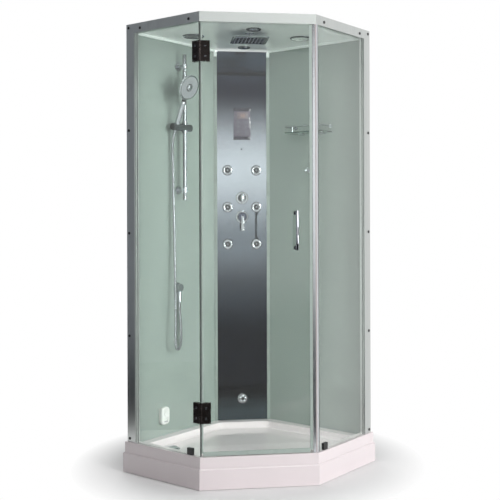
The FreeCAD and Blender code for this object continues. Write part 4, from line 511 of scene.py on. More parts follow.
def bumped(tree, shader, giver, output, strength, distance):
    """A bump from a height output, into the shader's normal."""
    made = add_node(tree, "Bump", {"Strength": strength, "Distance": distance})
    wire(tree, (giver, output, made, "Height"), (made, "Normal", shader, "Normal"))


# %% Wiring a finish
def finish(name, colour, second, edge, gloss, spread, patch, bump, fine=400.0, wear=0.5,
           **plain):
    """A finish with two close colours in patches, uneven gloss, a fine bump and worn edges."""
    tree, shader = new_material(name)
    here = use_group(tree, uneven, Scale=patch, Middle=gloss, Spread=spread, Fine_Scale=fine)
    body = mixed_colour(tree, here, "Patches", colour, second)
    edged_colour(tree, shader, body, edge, wear)
    wire(tree, (here, "Roughness", shader, "Roughness"))
    bumped(tree, shader, here, "Height", bump, BUMP_HEIGHT)
    set_plain(shader, **plain)


def make_finishes(table, **shared):
    """Makes each finish of a table, whose rows may end with settings of their own."""
    for name, row in table.items():
        own = row[7] if len(row) > 7 else {}
        finish(name, *row[:7], **shared, **own)
    print("finishes", *table)


def dress(paint, *nodes):
    """Gives CAD nodes a finish in place of the material that came with them."""
    for name in nodes:
        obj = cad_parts[name]
        if obj.material_slots:
            for place in obj.material_slots:
                place.material = PAINTS[paint]
        else:
            obj.data.materials.append(PAINTS[paint])


# %% [markdown]
# ## White and moulded finishes
#
# The tray and roof are glossy white acrylic, formed over a mould: the tray is slightly warm and
# the roof slightly cool. The rail over the door is powder coated, so its gloss is softer and its
# surface a little pebbled. The steam outlet and the fan's impeller are plain moulded plastic.

# %% White finishes
# Each row: colour, second colour and worn edge as on a screen, then gloss, its spread, the scale
# of the patches, the bump, and a few finishes' own settings.
WHITES = {
    "white_acrylic": ((238, 228, 230), (231, 221, 223), (244, 238, 239), 0.14, 0.05, 3, 0.03,
                      {"Coat_Weight": 0.4, "Coat_Roughness": 0.05}),
    "roof_white": ((240, 244, 241), (233, 238, 235), (246, 248, 247), 0.18, 0.06, 3, 0.03,
                   {"Coat_Weight": 0.3, "Coat_Roughness": 0.05}),
    "white_powder_coat": ((210, 215, 212), (203, 208, 205), (228, 231, 229), 0.34, 0.08, 14, 0.12,
                          {"fine": 900}),
    "white_plastic": ((232, 232, 230), (225, 225, 222), (240, 240, 238), 0.22, 0.08, 20, 0.04),
}
make_finishes(WHITES)
dress("white_acrylic", "shower_tray")
dress("roof_white", "roof_panel")
dress("white_powder_coat", "front_top_rail")
dress("white_plastic", "steam_outlet", "fan_impeller")

# %% [markdown]
# ## Metal finishes
#
# The frame is satin anodised aluminium, and a brushed grain runs along its uprights. Fittings are
# bright chrome, on metal or on plastic, and chrome is a near mirror with faint wiping marks. The
# hidden frame under the tray is galvanised, which shows its zinc crystals as dull patches, and
# the valve block behind the column is cast brass.


# %% Metal finishes
def brushed_metal(name, colour, second, gloss):
    """Satin metal with a grain along its height."""
    tree, shader = new_material(name)
    here = use_group(tree, brushed, Across=900.0, Along=6.0)
    body = mixed_colour(tree, here, "Streaks", colour, second)
    edged_colour(tree, shader, body, (235, 238, 240), 0.7)
    sheen = add_node(tree, "MapRange", {"To Min": gloss - 0.08, "To Max": gloss + 0.08})
    wire(tree, (here, "Grain", sheen, "Value"), (sheen, "Result", shader, "Roughness"))
    bumped(tree, shader, here, "Grain", 0.08, 0.0004)
    set_plain(shader, Metallic=1.0)


brushed_metal("satin_aluminium", (206, 209, 207), (192, 196, 194), 0.3)
brushed_metal("bright_aluminium", (214, 217, 219), (200, 204, 207), 0.24)
METALS = {
    "polished_chrome": ((204, 206, 210), (190, 193, 198), (236, 237, 240), 0.06, 0.04, 25, 0.01),
    "chromed_plastic": ((206, 208, 212), (192, 195, 200), (230, 231, 234), 0.1, 0.05, 30, 0.02),
    "zinc_coating": ((176, 180, 183), (140, 145, 150), (200, 203, 205), 0.45, 0.15, 40, 0.1),
    "cast_brass": ((196, 160, 98), (170, 134, 76), (224, 196, 138), 0.32, 0.1, 30, 0.15),
    "deep_chrome": ((168, 170, 176), (154, 157, 163), (226, 227, 230), 0.05, 0.03, 25, 0.004),
    # Chrome brightened past real chrome, as a painted highlight.
    "chrome_painted_highlight": ((236, 237, 240), (224, 226, 230), (246, 246, 248), 0.12, 0.03, 25, 0.004),
    "satin_chrome": ((158, 162, 164), (144, 148, 151), (214, 216, 218), 0.16, 0.03, 18, 0.002,
                     {"wear": 0.15}),
    "smoked_chrome": ((104, 110, 128), (90, 96, 114), (170, 175, 190), 0.16, 0.05, 12, 0.02),
}
make_finishes(METALS, Metallic=1.0)
dress("satin_aluminium", "left_upright", "left_top_rail", "right_upright", "right_top_rail")
dress("bright_aluminium", "strike_profile")
dress("satin_chrome", "slide_rail", "slider", "handset_holder")
dress("deep_chrome", "door_handle")
dress("smoked_chrome", "mixer_cap", "overhead_head")
dress("polished_chrome", "overhead_stem", "diverter_knob", "robe_hook", "shelf_rail",
      "wall_outlet", "rail_brackets", "valve_roses", "mixer_lever")
dress("chromed_plastic", "waste_cover", "fan_housing", "jet_rings", "foot_jet", "handset")
dress("zinc_coating", "tray_frame", "levelling_feet")
dress("cast_brass", "valve_manifold")

# %% [markdown]
# ## Glass
#
# There are three kinds: clear tempered glass with a faint green body, opal glass painted on its
# back, and the column's tinted mirror, whose colour also holds a painted reflection. Clear glass
# lets its shadow rays through, so that the lamps light the inside without endless sampling. The
# mirror's colour is a painted reflection graded by height: palest a little above the middle of
# its height, and darker towards the top and the foot.


# %% Clear glass
def clear_glass_finish(name, tint, rough=0.01):
    """Clear glass that casts almost no shadow, with faint wiping marks in its gloss."""
    tree, shader = new_material(name)
    here = use_group(tree, uneven, Scale=3.0, Middle=rough, Spread=rough * 0.8, Fine_Scale=60.0)
    set_plain(shader, Base_Color=tint, Transmission_Weight=1.0, IOR=1.5,
              Specular_IOR_Level=0.08)
    through = add_node(tree, "BsdfTransparent", {"Color": tint})
    ray = add_node(tree, "LightPath")
    either = add_node(tree, "MixShader")
    wire(tree, (here, "Roughness", shader, "Roughness"), (ray, "Is Shadow Ray", either, 0),
         (shader, 0, either, 1), (through, 0, either, 2),
         (either, 0, tree.nodes["Material Output"], "Surface"))
    print("clear glass", name)


clear_glass_finish("clear_green_glass", from_screen(246, 250, 248))
clear_glass_finish("shelf_green_glass", from_screen(205, 236, 222))
dress("clear_green_glass", "left_fixed_glass", "right_fixed_glass", "door_glass")
dress("shelf_green_glass", "shelf_glass")

# %% Opal walls
OPALS = {
    "opal_wall_glass": ((150, 161, 155), (144, 155, 149), (124, 138, 131), 0.12, 0.03, 1.2, 0.01,
                        {"fine": 5, "wear": 0.8, "Coat_Weight": 0.6, "Coat_Roughness": 0.02}),
}
make_finishes(OPALS)
dress("opal_wall_glass", "left_wall_glass", "right_wall_glass")


# %% The tinted mirror and its painted reflection
def graduated_finish(name, stops, low, high, gloss, **plain):
    """A finish whose tint follows the height, between two heights in metres."""
    tree, shader = new_material(name)
    place = add_node(tree, "TexCoord")
    apart = add_node(tree, "SeparateXYZ")
    share = add_node(tree, "MapRange", {"From Min": low, "From Max": high})
    ramp = add_node(tree, "ValToRGB")
    here = use_group(tree, uneven, Scale=5.0, Middle=gloss, Spread=gloss / 2, Fine_Scale=80.0)
    wire(tree, (place, "Object", apart, 0), (apart, "Z", share, "Value"),
         (share, "Result", ramp, "Fac"), (ramp, "Color", shader, "Base Color"),
         (here, "Roughness", shader, "Roughness"))
    tints = ramp.color_ramp
    tints.interpolation = "EASE"
    (_, first), *between, (_, last) = stops.items()
    for where, colour in between:
        tints.elements.new(where).color = from_screen(*colour)
    tints.elements[0].color = from_screen(*first)
    tints.elements[-1].color = from_screen(*last)
    bumped(tree, shader, here, "Height", 0.003, 0.0001)
    set_plain(shader, **plain)
    print("graduated", name, "in", len(stops), "stops")


# The colours by height are a painted reflection of the studio's dark and pale bands, over the
# mirror's own blue tint.
MIRROR_PAINTED_REFLECTION = {
    0.0: (64, 76, 82), 0.05: (14, 16, 24), 0.2: (16, 18, 27), 0.34: (50, 58, 68),
    0.46: (118, 126, 136), 0.68: (214, 220, 230), 0.9: (24, 29, 46), 1.0: (66, 78, 94),
}
graduated_finish("mirror_painted_reflection", MIRROR_PAINTED_REFLECTION, 0.2, 2.15, 0.035, Metallic=1.0)
dress("mirror_painted_reflection", "column_panel")

# %% The trims of the column and the ceiling
TRIM_TINTS = {0.0: (136, 146, 140), 1.0: (240, 245, 242)}
graduated_finish("trim_coat", TRIM_TINTS, 2.13, 2.14, 0.28)
dress("trim_coat", "wall_trims")

# %% [markdown]
# ## Dark and small finishes
#
# The hinge plates are bronzed steel, almost black. The glass clips and the screw caps are black
# plastic, the seals are clear vinyl, and the display has a smoked cover over a lit panel.

# %% Dark and small finishes
SMALL_ONES = {
    "bronzed_plate": ((46, 40, 38), (34, 30, 29), (110, 98, 88), 0.28, 0.08, 30, 0.05,
                      {"Metallic": 0.7}),
    "black_plastic": ((30, 30, 31), (24, 24, 25), (62, 62, 64), 0.4, 0.1, 40, 0.1),
    "clear_vinyl": ((172, 184, 178), (162, 175, 169), (186, 198, 192), 0.3, 0.1, 10, 0.05),
    "smoked_cover": ((52, 56, 64), (42, 46, 54), (120, 124, 132), 0.08, 0.03, 20, 0.01,
                     {"Coat_Weight": 0.5}),
    "soft_grey": ((150, 153, 156), (138, 141, 144), (176, 178, 180), 0.42, 0.1, 40, 0.1),
    "trap_grey": ((120, 122, 126), (108, 110, 114), (140, 142, 146), 0.42, 0.1, 12, 0.1),
    "painted_sheet": ((206, 208, 210), (196, 199, 202), (226, 228, 230), 0.4, 0.1, 6, 0.08),
    "lamp_cover": ((206, 212, 208), (198, 204, 200), (120, 124, 124), 0.3, 0.08, 30, 0.05),
    # Chrome darkened far below real chrome, as painted shade on the chrome fittings; on the hinge
    # bolts it is their own dark metal.
    "dark_metal_and_painted_shade": ((92, 95, 98), (78, 81, 84), (176, 178, 180), 0.12, 0.05, 20, 0.02,
                    {"Metallic": 1.0}),
    "panel_dark": ((52, 48, 60), (44, 41, 52), (96, 92, 104), 0.12, 0.04, 20, 0.01),
    "panel_cover": ((98, 92, 104), (90, 85, 97), (130, 124, 136), 0.1, 0.03, 20, 0.01),
    "read_out": ((122, 109, 114), (113, 101, 107), (150, 136, 140), 0.2, 0.05, 30, 0.01),
    "read_out_bars": ((168, 130, 116), (158, 122, 110), (210, 170, 150), 0.3, 0.05, 30, 0.01),
    "rose_grey_inlay": ((186, 176, 178), (176, 167, 169), (206, 198, 200), 0.35, 0.08, 20, 0.05),
    "deep_green_edge": ((58, 84, 72), (44, 70, 60), (96, 128, 114), 0.12, 0.05, 12, 0.01),
}
make_finishes(SMALL_ONES)
dress("bronzed_plate", "hinge_fixed_leaves", "hinge_door_leaves")
dress("black_plastic", "glass_clips", "screw_caps")
dress("clear_vinyl", "door_magnet", "door_seals")
dress("smoked_cover", "display_bezel", "display_screen")
dress("soft_grey", "spray_face")
dress("trap_grey", "waste_trap")
dress("painted_sheet", "steam_generator")
dress("lamp_cover", "ceiling_light")
# The downlights and the jet balls are chrome darkened as painted shade.
dress("dark_metal_and_painted_shade", "downlights", *[f"jet_ball_{number}" for number in range(1, 7)])


# %% The hose's finish
hose_tree, hose_shader = new_material("spiral_hose_steel")
GROOVES = 400
hose_place = add_node(hose_tree, "UVMap")
hose_apart = add_node(hose_tree, "SeparateXYZ")
hose_turns = add_node(hose_tree, "Math", {1: GROOVES}, operation="MULTIPLY")
hose_wave = add_node(hose_tree, "Math", {1: 0.5}, operation="PINGPONG")
hose_groove = add_node(hose_tree, "MapRange", {"To Min": 0.0, "To Max": 2.0})
# The hose's colour is darker in each groove than on its ridge: painted shade in the grooves,
# beside the real bump.
hose_groove_painted_shade = mixed_colour(hose_tree, hose_groove, "Result", (120, 123, 128), (214, 216, 220))
hose_uneven = use_group(hose_tree, uneven, Scale=20.0, Middle=0.22, Spread=0.08)
wire(hose_tree, (hose_place, "UV", hose_apart, 0), (hose_apart, "X", hose_turns, 0),
     (hose_turns, 0, hose_wave, 0), (hose_wave, 0, hose_groove, "Value"),
     (hose_groove_painted_shade, MIX_RESULT, hose_shader, "Base Color"),
     (hose_uneven, "Roughness", hose_shader, "Roughness"))
bumped(hose_tree, hose_shader, hose_groove, "Result", 0.8, 0.0008)
set_plain(hose_shader, Metallic=1.0)
for piece in (hose, upper_hose):
    piece.data.materials.clear()
    piece.data.materials.append(PAINTS["spiral_hose_steel"])
print("hose maps", [layer.name for layer in hose.data.uv_layers])

# %% [markdown]
# ## Round pieces, grown ring by ring
#
# Many of the small fittings are turned: nozzles, rims, caps and grips. By hand they are made from
# one circle: its edge or face is extruded, moved along the axis and given a new width, again and
# again. One helper does that about the Z axis, then turns the piece to face its own direction
# and applies the turn, so that every finished piece keeps its place in its mesh.


# %% Growing a round piece
SMOOTH_UNDER = math.radians(35)
WELD = 0.000005


def towards(direction):
    """The turn that brings the Z axis to a direction."""
    return Vector(direction).normalized().to_track_quat("Z", "Y").to_matrix().to_4x4()


def settle(piece, turn=None, place=(0, 0, 0)):
    """Turns and moves a piece, applies both, and smooths the surfaces between its sharp edges."""
    piece.matrix_world = Matrix.Translation(place) @ (turn or Matrix()) @ piece.matrix_world
    bpy.context.view_layer.update()
    alone(piece)
    bpy.ops.object.transform_apply(location=True, rotation=True, scale=True)
    bpy.ops.object.shade_smooth_by_angle(angle=SMOOTH_UNDER)
    return piece


def turned_piece(name, rings, place=(0, 0, 0), direction=(0, 0, 1), steps=40):
    """A round piece from radii and heights in mm, hollow where its last ring is its first."""
    hollow = rings[0] == rings[-1]
    radius, height = rings[0]
    deselect()
    bpy.ops.mesh.primitive_circle_add(vertices=steps, radius=radius / 1000,
                                      fill_type="NOTHING" if hollow else "NGON",
                                      location=(0, 0, height / 1000))
    piece = bpy.context.object
    piece.name = name
    piece.data.name = name
    bpy.ops.object.transform_apply(location=True, rotation=False, scale=False)
    edit_all()
    for (old, low), (new, high) in zip(rings, rings[1:]):
        if hollow:
            bpy.ops.mesh.extrude_edges_move()
        else:
            bpy.ops.mesh.extrude_region_move()
        bpy.ops.transform.translate(value=(0, 0, (high - low) / 1000))
        share = new / old
        bpy.ops.transform.resize(value=(share, share, 1), center_override=(0, 0, 0))
    bpy.ops.mesh.select_all(action="SELECT")
    bpy.ops.mesh.remove_doubles(threshold=WELD)
    bpy.ops.mesh.normals_make_consistent(inside=False)
    edit_mode(False)
    return settle(piece, towards(direction), place)


# %% Finishing, copying and joining pieces
def finished(piece, paint, slot, body):
    """Gives a piece its material and the body that it rides on. The slot is not used."""
    piece.data.materials.clear()
    piece.data.materials.append(PAINTS[paint])
    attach(piece, body)
    return piece


def fitting(name, looks, place, direction, steps, *rings):
    """A round piece with its material and body; the slot in its looks is not used."""
    return finished(turned_piece(name, rings, place, direction, steps), *looks)


def copied(piece, name, move):
    """A copy with its own mesh, moved by a vector."""
    made = placed(name, piece.data.copy())
    made.data.transform(Matrix.Translation(move))
    return made


def joined(name, pieces):
    """Several pieces made one object."""
    alone(pieces[0])
    for piece in pieces:
        piece.select_set(True)
    bpy.ops.object.join()
    pieces[0].name = name
    pieces[0].data.name = name
    return pieces[0]


# %% [markdown]
# ## The six body jets
#
# A jet's ball sits in a polished ring whose front is rolled like a tyre, so it draws a bright
# crescent on one side and a dark one on the other. A dark rubber ring keeps water out of the
# gap round the ball, and the nozzle in the ball's mouth is a plate with a pin, ringed by five
# black dots that paint the shade in its holes.
# A flat gasket shows as a thin dark line where the ring meets the mirror. Each part is grown
# once at the origin and copied to the six places.

# %% The jets' parts
JETS = [(-79.5, 1509), (79.5, 1509), (-79.5, 1305), (79.5, 1305), (-79.5, 1101), (79.5, 1101)]
COLUMN_FACE = 0.32602
OUTWARD = (0, -1, 0)
BLACK_SEAL = ("black_plastic", "seal", "cabin")
BLACK_TRIM = ("black_plastic", "black_plastic", "cabin")
GASKET = [(27.6, 0.1), (28.7, 0.1), (29.0, 0.5), (28.6, 0.9), (27.6, 1.0), (27.6, 0.1)]
ON_CABIN, ON_BALL = "cabin", "jet_{}"
JET_PARTS = {
    "rubber": ("black_plastic", "seal", ON_CABIN, 40, [
        (13.5, 4.2), (13.5, 5.6), (13.1, 6.1), (12.7, 5.8), (12.5, 4.2), (13.5, 4.2)]),
    "gasket": ("black_plastic", "seal", ON_CABIN, 40, GASKET),
    "bezel": ("polished_chrome", "chrome_plastic", ON_CABIN, 56, [
        (27.4, 0.9), (27.3, 4.4), (25.8, 7.2), (23.0, 8.8), (19.8, 8.9), (16.8, 7.9),
        (14.8, 6.3), (14.1, 5.0), (27.4, 0.9)]),
    "nozzle": ("soft_grey", "grey_plastic", ON_BALL, 24, [
        (4.3, 5.4), (4.3, 7.0), (4.0, 7.3), (1.4, 7.3), (1.2, 8.6), (0.7, 9.0)]),
    # The nozzle rim is chrome darkened as painted shade.
    "nozzle_rim": ("dark_metal_and_painted_shade", "chrome_plastic", ON_BALL, 32, [
        (4.6, 8.0), (7.6, 8.0), (7.2, 8.9), (5.2, 9.1), (4.6, 8.6), (4.6, 8.0)]),
}
print("a jet's parts", *JET_PARTS)


# %% The six jets
def on_column(across, up):
    """A place on the column's face, in m, from its two distances in mm."""
    return Vector((across / 1000, COLUMN_FACE, up / 1000))


def five_round(centre, radius, first=0):
    """Five places round a centre on the column, on a radius in mm, from a first angle."""
    angles = [math.radians(72 * number + first) for number in range(5)]
    return [centre + Vector((math.cos(angle), 0, math.sin(angle))) * radius / 1000
            for angle in angles]


patterns = [(turned_piece(f"jet_{part}", rings, direction=OUTWARD, steps=steps), part, paint,
             slot, body) for part, (paint, slot, body, steps, rings) in JET_PARTS.items()]
# The holes are black dots standing on the nozzle plate: painted shade in place of real holes.
hole_shade_dots = [turned_piece("jet_hole", [(0.62, 7.2), (0.62, 7.5), (0.4, 7.6)], spot, OUTWARD, 8)
        for spot in five_round(Vector((0, 0, 0)), 2.75)]
patterns.append((joined("jet_hole_ring", hole_shade_dots), "hole_shade", "black_plastic", "black_plastic",
                 ON_BALL))
for number, (across, up) in enumerate(JETS, start=1):
    for pattern, part, paint, slot, body in patterns:
        finished(copied(pattern, f"jet_{part}_{number}", on_column(across, up)), paint, slot,
                 body.format(number))
for pattern, *_ in patterns:
    bpy.data.objects.remove(pattern)
FOOT_JET = on_column(0, 248)
fitting("foot_jet_gasket", BLACK_SEAL, FOOT_JET, OUTWARD, 40, *GASKET)
print("jets dressed", len(JETS))

# %% [markdown]
# ## The foot jet's spout
#
# The low fitting is meant for the feet: in the middle of its ring a lobed spout stands out, and a
# black cap over its mouth paints the shade inside it. The lobes are five small domes set round
# the mouth.

# %% The foot jet
lobes = [turned_piece("spout_lobe", [(5.6, 6.0), (5.6, 8.6), (4.8, 10.4), (3.0, 11.4),
                                     (1.0, 11.7)], spot, OUTWARD, 20)
         for spot in five_round(FOOT_JET, 13.2, first=18)]
finished(joined("foot_jet_lobes", lobes), "polished_chrome", "chrome", "cabin")
# A black cap over the spout's mouth: painted shade inside it.
fitting("foot_jet_mouth_shade", BLACK_TRIM, FOOT_JET, OUTWARD, 32,
        (9.6, 9.2), (9.6, 10.3), (8.6, 10.8), (7.4, 10.3), (1.0, 10.1))
print("spout lobes", len(lobes))

# %% [markdown]
# ## The diverter knob
#
# The diverter turns between the outlets. The real knob is a shallow round boss with a fat oval
# grip across it, pinched so that fingers find it. The plain CAD knob is replaced by a boss grown
# ring by ring and a ball that is stretched to the oval and cut flat where it meets the boss.

# %% The diverter
DIVERTER = on_column(0, 1356)
GRIP_OUT = 0.0212
boss = turned_piece("diverter_boss", [(21.9, 7.4), (22.0, 8.4), (22.0, 16.0), (21.0, 19.0),
                                      (18.8, 21.6), (15.0, 23.6), (9.0, 24.8), (1.0, 25.1)],
                    DIVERTER, OUTWARD, 64)
deselect()
bpy.ops.mesh.primitive_uv_sphere_add(segments=40, ring_count=24, radius=0.01,
                                     location=(0, 0, 0))
grip = bpy.context.object
edit_all()
bpy.ops.transform.resize(value=(1.12, 1.5, 2.55))
bpy.ops.mesh.bisect(plane_co=(0, 0, 0), plane_no=(0, 1, 0), use_fill=True, clear_outer=True)
bpy.ops.mesh.normals_make_consistent(inside=False)
edit_mode(False)
settle(grip, None, DIVERTER + Vector(OUTWARD) * GRIP_OUT)
# The grip's chrome is brightened as a painted highlight and the boss's darkened as painted shade,
# though both are one chrome.
finished(grip, "chrome_painted_highlight", "chrome", "diverter")
finished(boss, "dark_metal_and_painted_shade", "chrome", "diverter")
knob = joined("diverter_grip", [boss, grip])
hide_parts("diverter_knob")
print("diverter faces", len(knob.data.polygons))

# %% [markdown]
# ## The mixer
#
# The mixer's cap and lever stay as the CAD has them. A temperature ring goes round the foot of
# the cap, and a rounded sleeve goes over the lever's square tip, as a finger pad.


# %% The mixer's ring and the lever's pad
def new_cube(name, place, size):
    """A box of a size about a place, both in m, with its scale applied."""
    deselect()
    bpy.ops.mesh.primitive_cube_add(size=1, location=place)
    piece = bpy.context.object
    piece.name = name
    piece.scale = size
    bpy.ops.object.transform_apply(location=True, rotation=False, scale=True)
    return piece


def pick(piece, kind, test):
    """Goes into edit mode with only those faces or edges picked that pass a test."""
    edit_mode()
    bpy.ops.mesh.select_all(action="DESELECT")
    edit_mode(False)
    for part in getattr(piece.data, kind):
        part.select = test(part)
    edit_mode()


fitting("mixer_ring", BLACK_TRIM, on_column(0, 1251.5), OUTWARD, 64,
        (25.2, 7.2), (27.6, 7.2), (27.9, 8.4), (27.0, 9.4), (25.4, 9.4), (25.2, 7.2))
pad = new_cube("lever_sleeve", (0, 0.2848, 1.2089), (0.0156, 0.0092, 0.0692))
pick(pad, "polygons", lambda face: face.normal.z < -0.5)
bpy.ops.transform.resize(value=(1.25, 0.9, 1))
bpy.ops.mesh.select_all(action="SELECT")
bpy.ops.mesh.bevel(offset=0.0034, segments=4, affect="EDGES")
bpy.ops.mesh.normals_make_consistent(inside=False)
edit_mode(False)
settle(pad)
finished(pad, "polished_chrome", "chrome", "mixer_lever")

# %% [markdown]
# ## The handset's face
#
# The spray face has four rings of soft nozzles round a polished centre knob, which switches the
# spray. The handset leans 22.5 degrees out from the wall, so its pieces are placed by two
# directions: along the handle and out of the face.

# %% Directions of the handset
LEAN = math.radians(22.5)
OUT_OF_WALL = Vector((HALF_TURN, -HALF_TURN, 0))
UP = Vector((0, 0, 1))
ALONG_HANDLE = OUT_OF_WALL * math.sin(LEAN) + UP * math.cos(LEAN)
OUT_OF_FACE = OUT_OF_WALL * math.cos(LEAN) - UP * math.sin(LEAN)
ACROSS_FACE = ALONG_HANDLE.cross(OUT_OF_FACE)
FACE_CENTRE = HOLDER + ALONG_HANDLE * 0.214
print("face centre", rounded(FACE_CENTRE))

# %% Nozzles, centre knob and collar
NOZZLE_RINGS = {24: 12, 33: 18, 42: 24, 51: 30}
BLACK_GRIP = ("black_plastic", "black_plastic", "handset")
CHROME_GRIP = ("polished_chrome", "chrome_plastic", "handset")
nozzle = turned_piece("spray_nozzle", [(1.5, 11.6), (1.4, 12.3), (0.9, 13.0)],
                      direction=OUT_OF_FACE, steps=8)
nozzles = []
for radius, count in NOZZLE_RINGS.items():
    for number in range(count):
        angle = math.tau * number / count + radius
        move = (ACROSS_FACE * math.cos(angle) + ALONG_HANDLE * math.sin(angle)) * radius / 1000
        nozzles.append(copied(nozzle, "spray_nozzle", FACE_CENTRE + move))
bpy.data.objects.remove(nozzle)
finished(joined("spray_nozzles", nozzles), "trap_grey", "grey_plastic", "handset")
fitting("spray_knob", CHROME_GRIP, FACE_CENTRE, OUT_OF_FACE, 48,
        (16.6, 11.4), (16.6, 13.4), (15.6, 15.6), (12.5, 17.6), (7.5, 19.0), (1.0, 19.6))
fitting("spray_knob_groove", BLACK_GRIP, FACE_CENTRE, OUT_OF_FACE, 48,
        (16.7, 11.6), (20.0, 11.6), (20.2, 12.6), (16.7, 12.9), (16.7, 11.6))
fitting("spray_rim", CHROME_GRIP, FACE_CENTRE, OUT_OF_FACE, 72,
        (56.6, 11.7), (57.4, 12.9), (60.5, 13.3), (63.6, 12.6), (65.0, 10.4), (64.0, 9.4),
        (57.0, 11.0), (56.6, 11.7))
fitting("handset_collar", BLACK_GRIP, HOLDER, ALONG_HANDLE, 36,
        (8.3, 137), (10.0, 137), (10.6, 139), (10.6, 145), (9.8, 147.5), (8.3, 147.5),
        (8.3, 137))
fitting("holder_end_cap", ("black_plastic", "black_plastic", "holder"),
        on_left_wall(264.6, 60, 1717), (-HALF_TURN, -HALF_TURN, 0), 32,
        (17.0, -0.2), (17.0, 1.8), (15.4, 3.2), (1.0, 3.6))
print("spray nozzles", len(nozzles))

# %% [markdown]
# ## The ceiling
#
# Both kinds of lamp and the fan have a turned rim that stands a little below the roof, its chrome
# darkened as painted shade, and the downlights have a domed lens. The square overhead plate has a
# bright edge, a dark face with a rounded rim, and a grid of soft nozzles that hang from it.

# %% Lamp rims and lenses
ROOF_UNDER = 2.172
LAMPS = {"ring_light": (268, -48.5, 53, 5.2), "front_downlight": (4, -235.5, 36, 5.2),
         "rear_downlight": (4, 231.5, 33, 5.2), "fan": (-280, -33.5, 53.5, 4.2)}
# The lamp rims are chrome darkened as painted shade.
for name, (across, deep, radius, drop) in LAMPS.items():
    spot = (across / 1000, deep / 1000, ROOF_UNDER)
    fitting(f"{name}_rim", ("dark_metal_and_painted_shade", "chrome_plastic", "cabin"), spot, UP, 72,
            (radius - 5.5, -drop), (radius - 4.5, -drop - 1.4), (radius - 1.6, -drop - 1.2),
            (radius + 0.6, -drop + 1.2), (radius + 0.9, -0.4), (radius - 5.5, -drop))
    if name.endswith("downlight"):
        fitting(f"{name}_lens", ("polished_chrome", "lamp", "cabin"), spot, UP, 48,
                (radius - 10, -4.4), (radius - 10.5, -5.6), (radius - 15, -7.6),
                (radius - 22, -8.8), (1.0, -9.2))
print("lamp rims", len(LAMPS))

# %% The overhead plate
HEAD = Vector((-0.005, -0.1335, 2.1393))
NOZZLE_PITCH = 0.0178
NOZZLE_ROWS = 9
FACE_UNDER = -0.0034
plate = new_cube("overhead_shell", HEAD, (0.1812, 0.1812, 0.0086))


def stands_up(edge):
    """Tells whether an edge of the plate is one of its four upright corners."""
    first, second = (plate.data.vertices[number].co.z for number in edge.vertices)
    return abs(first - second) > 0.004


def looks_down(face):
    """Tells whether a face looks down."""
    return face.normal.z < -0.9


pick(plate, "edges", stands_up)
bpy.ops.mesh.bevel(offset=0.008, segments=6, affect="EDGES")
pick(plate, "polygons", looks_down)
bpy.ops.mesh.inset(thickness=0.0015)
bpy.ops.transform.translate(value=(0, 0, -0.0004))
bpy.ops.mesh.inset(thickness=0.0075)
bpy.ops.mesh.inset(thickness=0.0012)
bpy.ops.transform.translate(value=(0, 0, 0.0012))
edit_mode(False)
settle(plate)
finished(plate, "polished_chrome", "chrome_plastic", "overhead")
plate.data.materials.append(PAINTS["smoked_chrome"])
for face in plate.data.polygons:
    if looks_down(face) and face.area > 0.01:
        face.material_index = 1
drip = turned_piece("overhead_nozzle", [(2.0, 0.8), (1.8, -0.6), (1.1, -1.6)], steps=8)
middle = (NOZZLE_ROWS - 1) / 2
drips = []
for row in range(NOZZLE_ROWS):
    for column in range(NOZZLE_ROWS):
        move = Vector(((column - middle) * NOZZLE_PITCH, (row - middle) * NOZZLE_PITCH,
                       FACE_UNDER))
        drips.append(copied(drip, "overhead_nozzle", HEAD + move))
bpy.data.objects.remove(drip)
finished(joined("overhead_nozzles", drips), "soft_grey", "grey_plastic", "overhead")
print("overhead nozzles", len(drips))

# %% [markdown]
# ## Flat strips and plates
#
# Gaskets, bands and marks are thin boxes. Each starts as a cube of its real size, gets its edges
# rounded by a bevel, and is turned into the plane that it lies in. The glass panels beside the
# door start at the same corners as the walls, square to them, so a place on such a panel is a
# place on the wall with its two distances swapped.


# %% A thin plate
def thin_plate(name, centre, size, turn=0.0, round_edges=0.0004, segments=2):
    """A box of a size in mm about a place in m, turned about Z in degrees, with soft edges."""
    piece = new_cube(name, (0, 0, 0), [length / 1000 for length in size])
    piece.data.name = name
    edit_all()
    bpy.ops.mesh.bevel(offset=round_edges, segments=segments, affect="EDGES")
    edit_mode(False)
    return settle(piece, Matrix.Rotation(math.radians(turn), 4, "Z"), centre)


# %% [markdown]
# ## The touch panel
#
# The panel's cover is smoked plastic over a pale display. Its two ends are darker, a small
# read-out stands near the top, and six round touch marks sit below it. The read-out shows the
# water's temperature in plain bars, as on any such panel.

# %% The touch panel's parts
PANEL_FACE = 0.31745
PANEL_MIDDLE = 0.0015
READ_OUT_UP = 1.811
ON_PANEL = ("display", "cabin")
for name, height in (("upper", 1.8442), ("lower", 1.6868)):
    band = thin_plate(f"panel_{name}_band", (PANEL_MIDDLE, PANEL_FACE + 0.0004, height),
                      (95.4, 1.8, 18.6), round_edges=0.0006)
    finished(band, "panel_dark", *ON_PANEL)
finished(thin_plate("panel_cover", (PANEL_MIDDLE, PANEL_FACE + 0.0008, 1.7655),
                    (93, 1.4, 139), round_edges=0.0005), "panel_cover", *ON_PANEL)
finished(thin_plate("panel_read_out", (0.003, PANEL_FACE - 0.0001, READ_OUT_UP),
                    (60, 0.8, 38), round_edges=0.0003), "read_out", *ON_PANEL)
print("panel plates", 4)

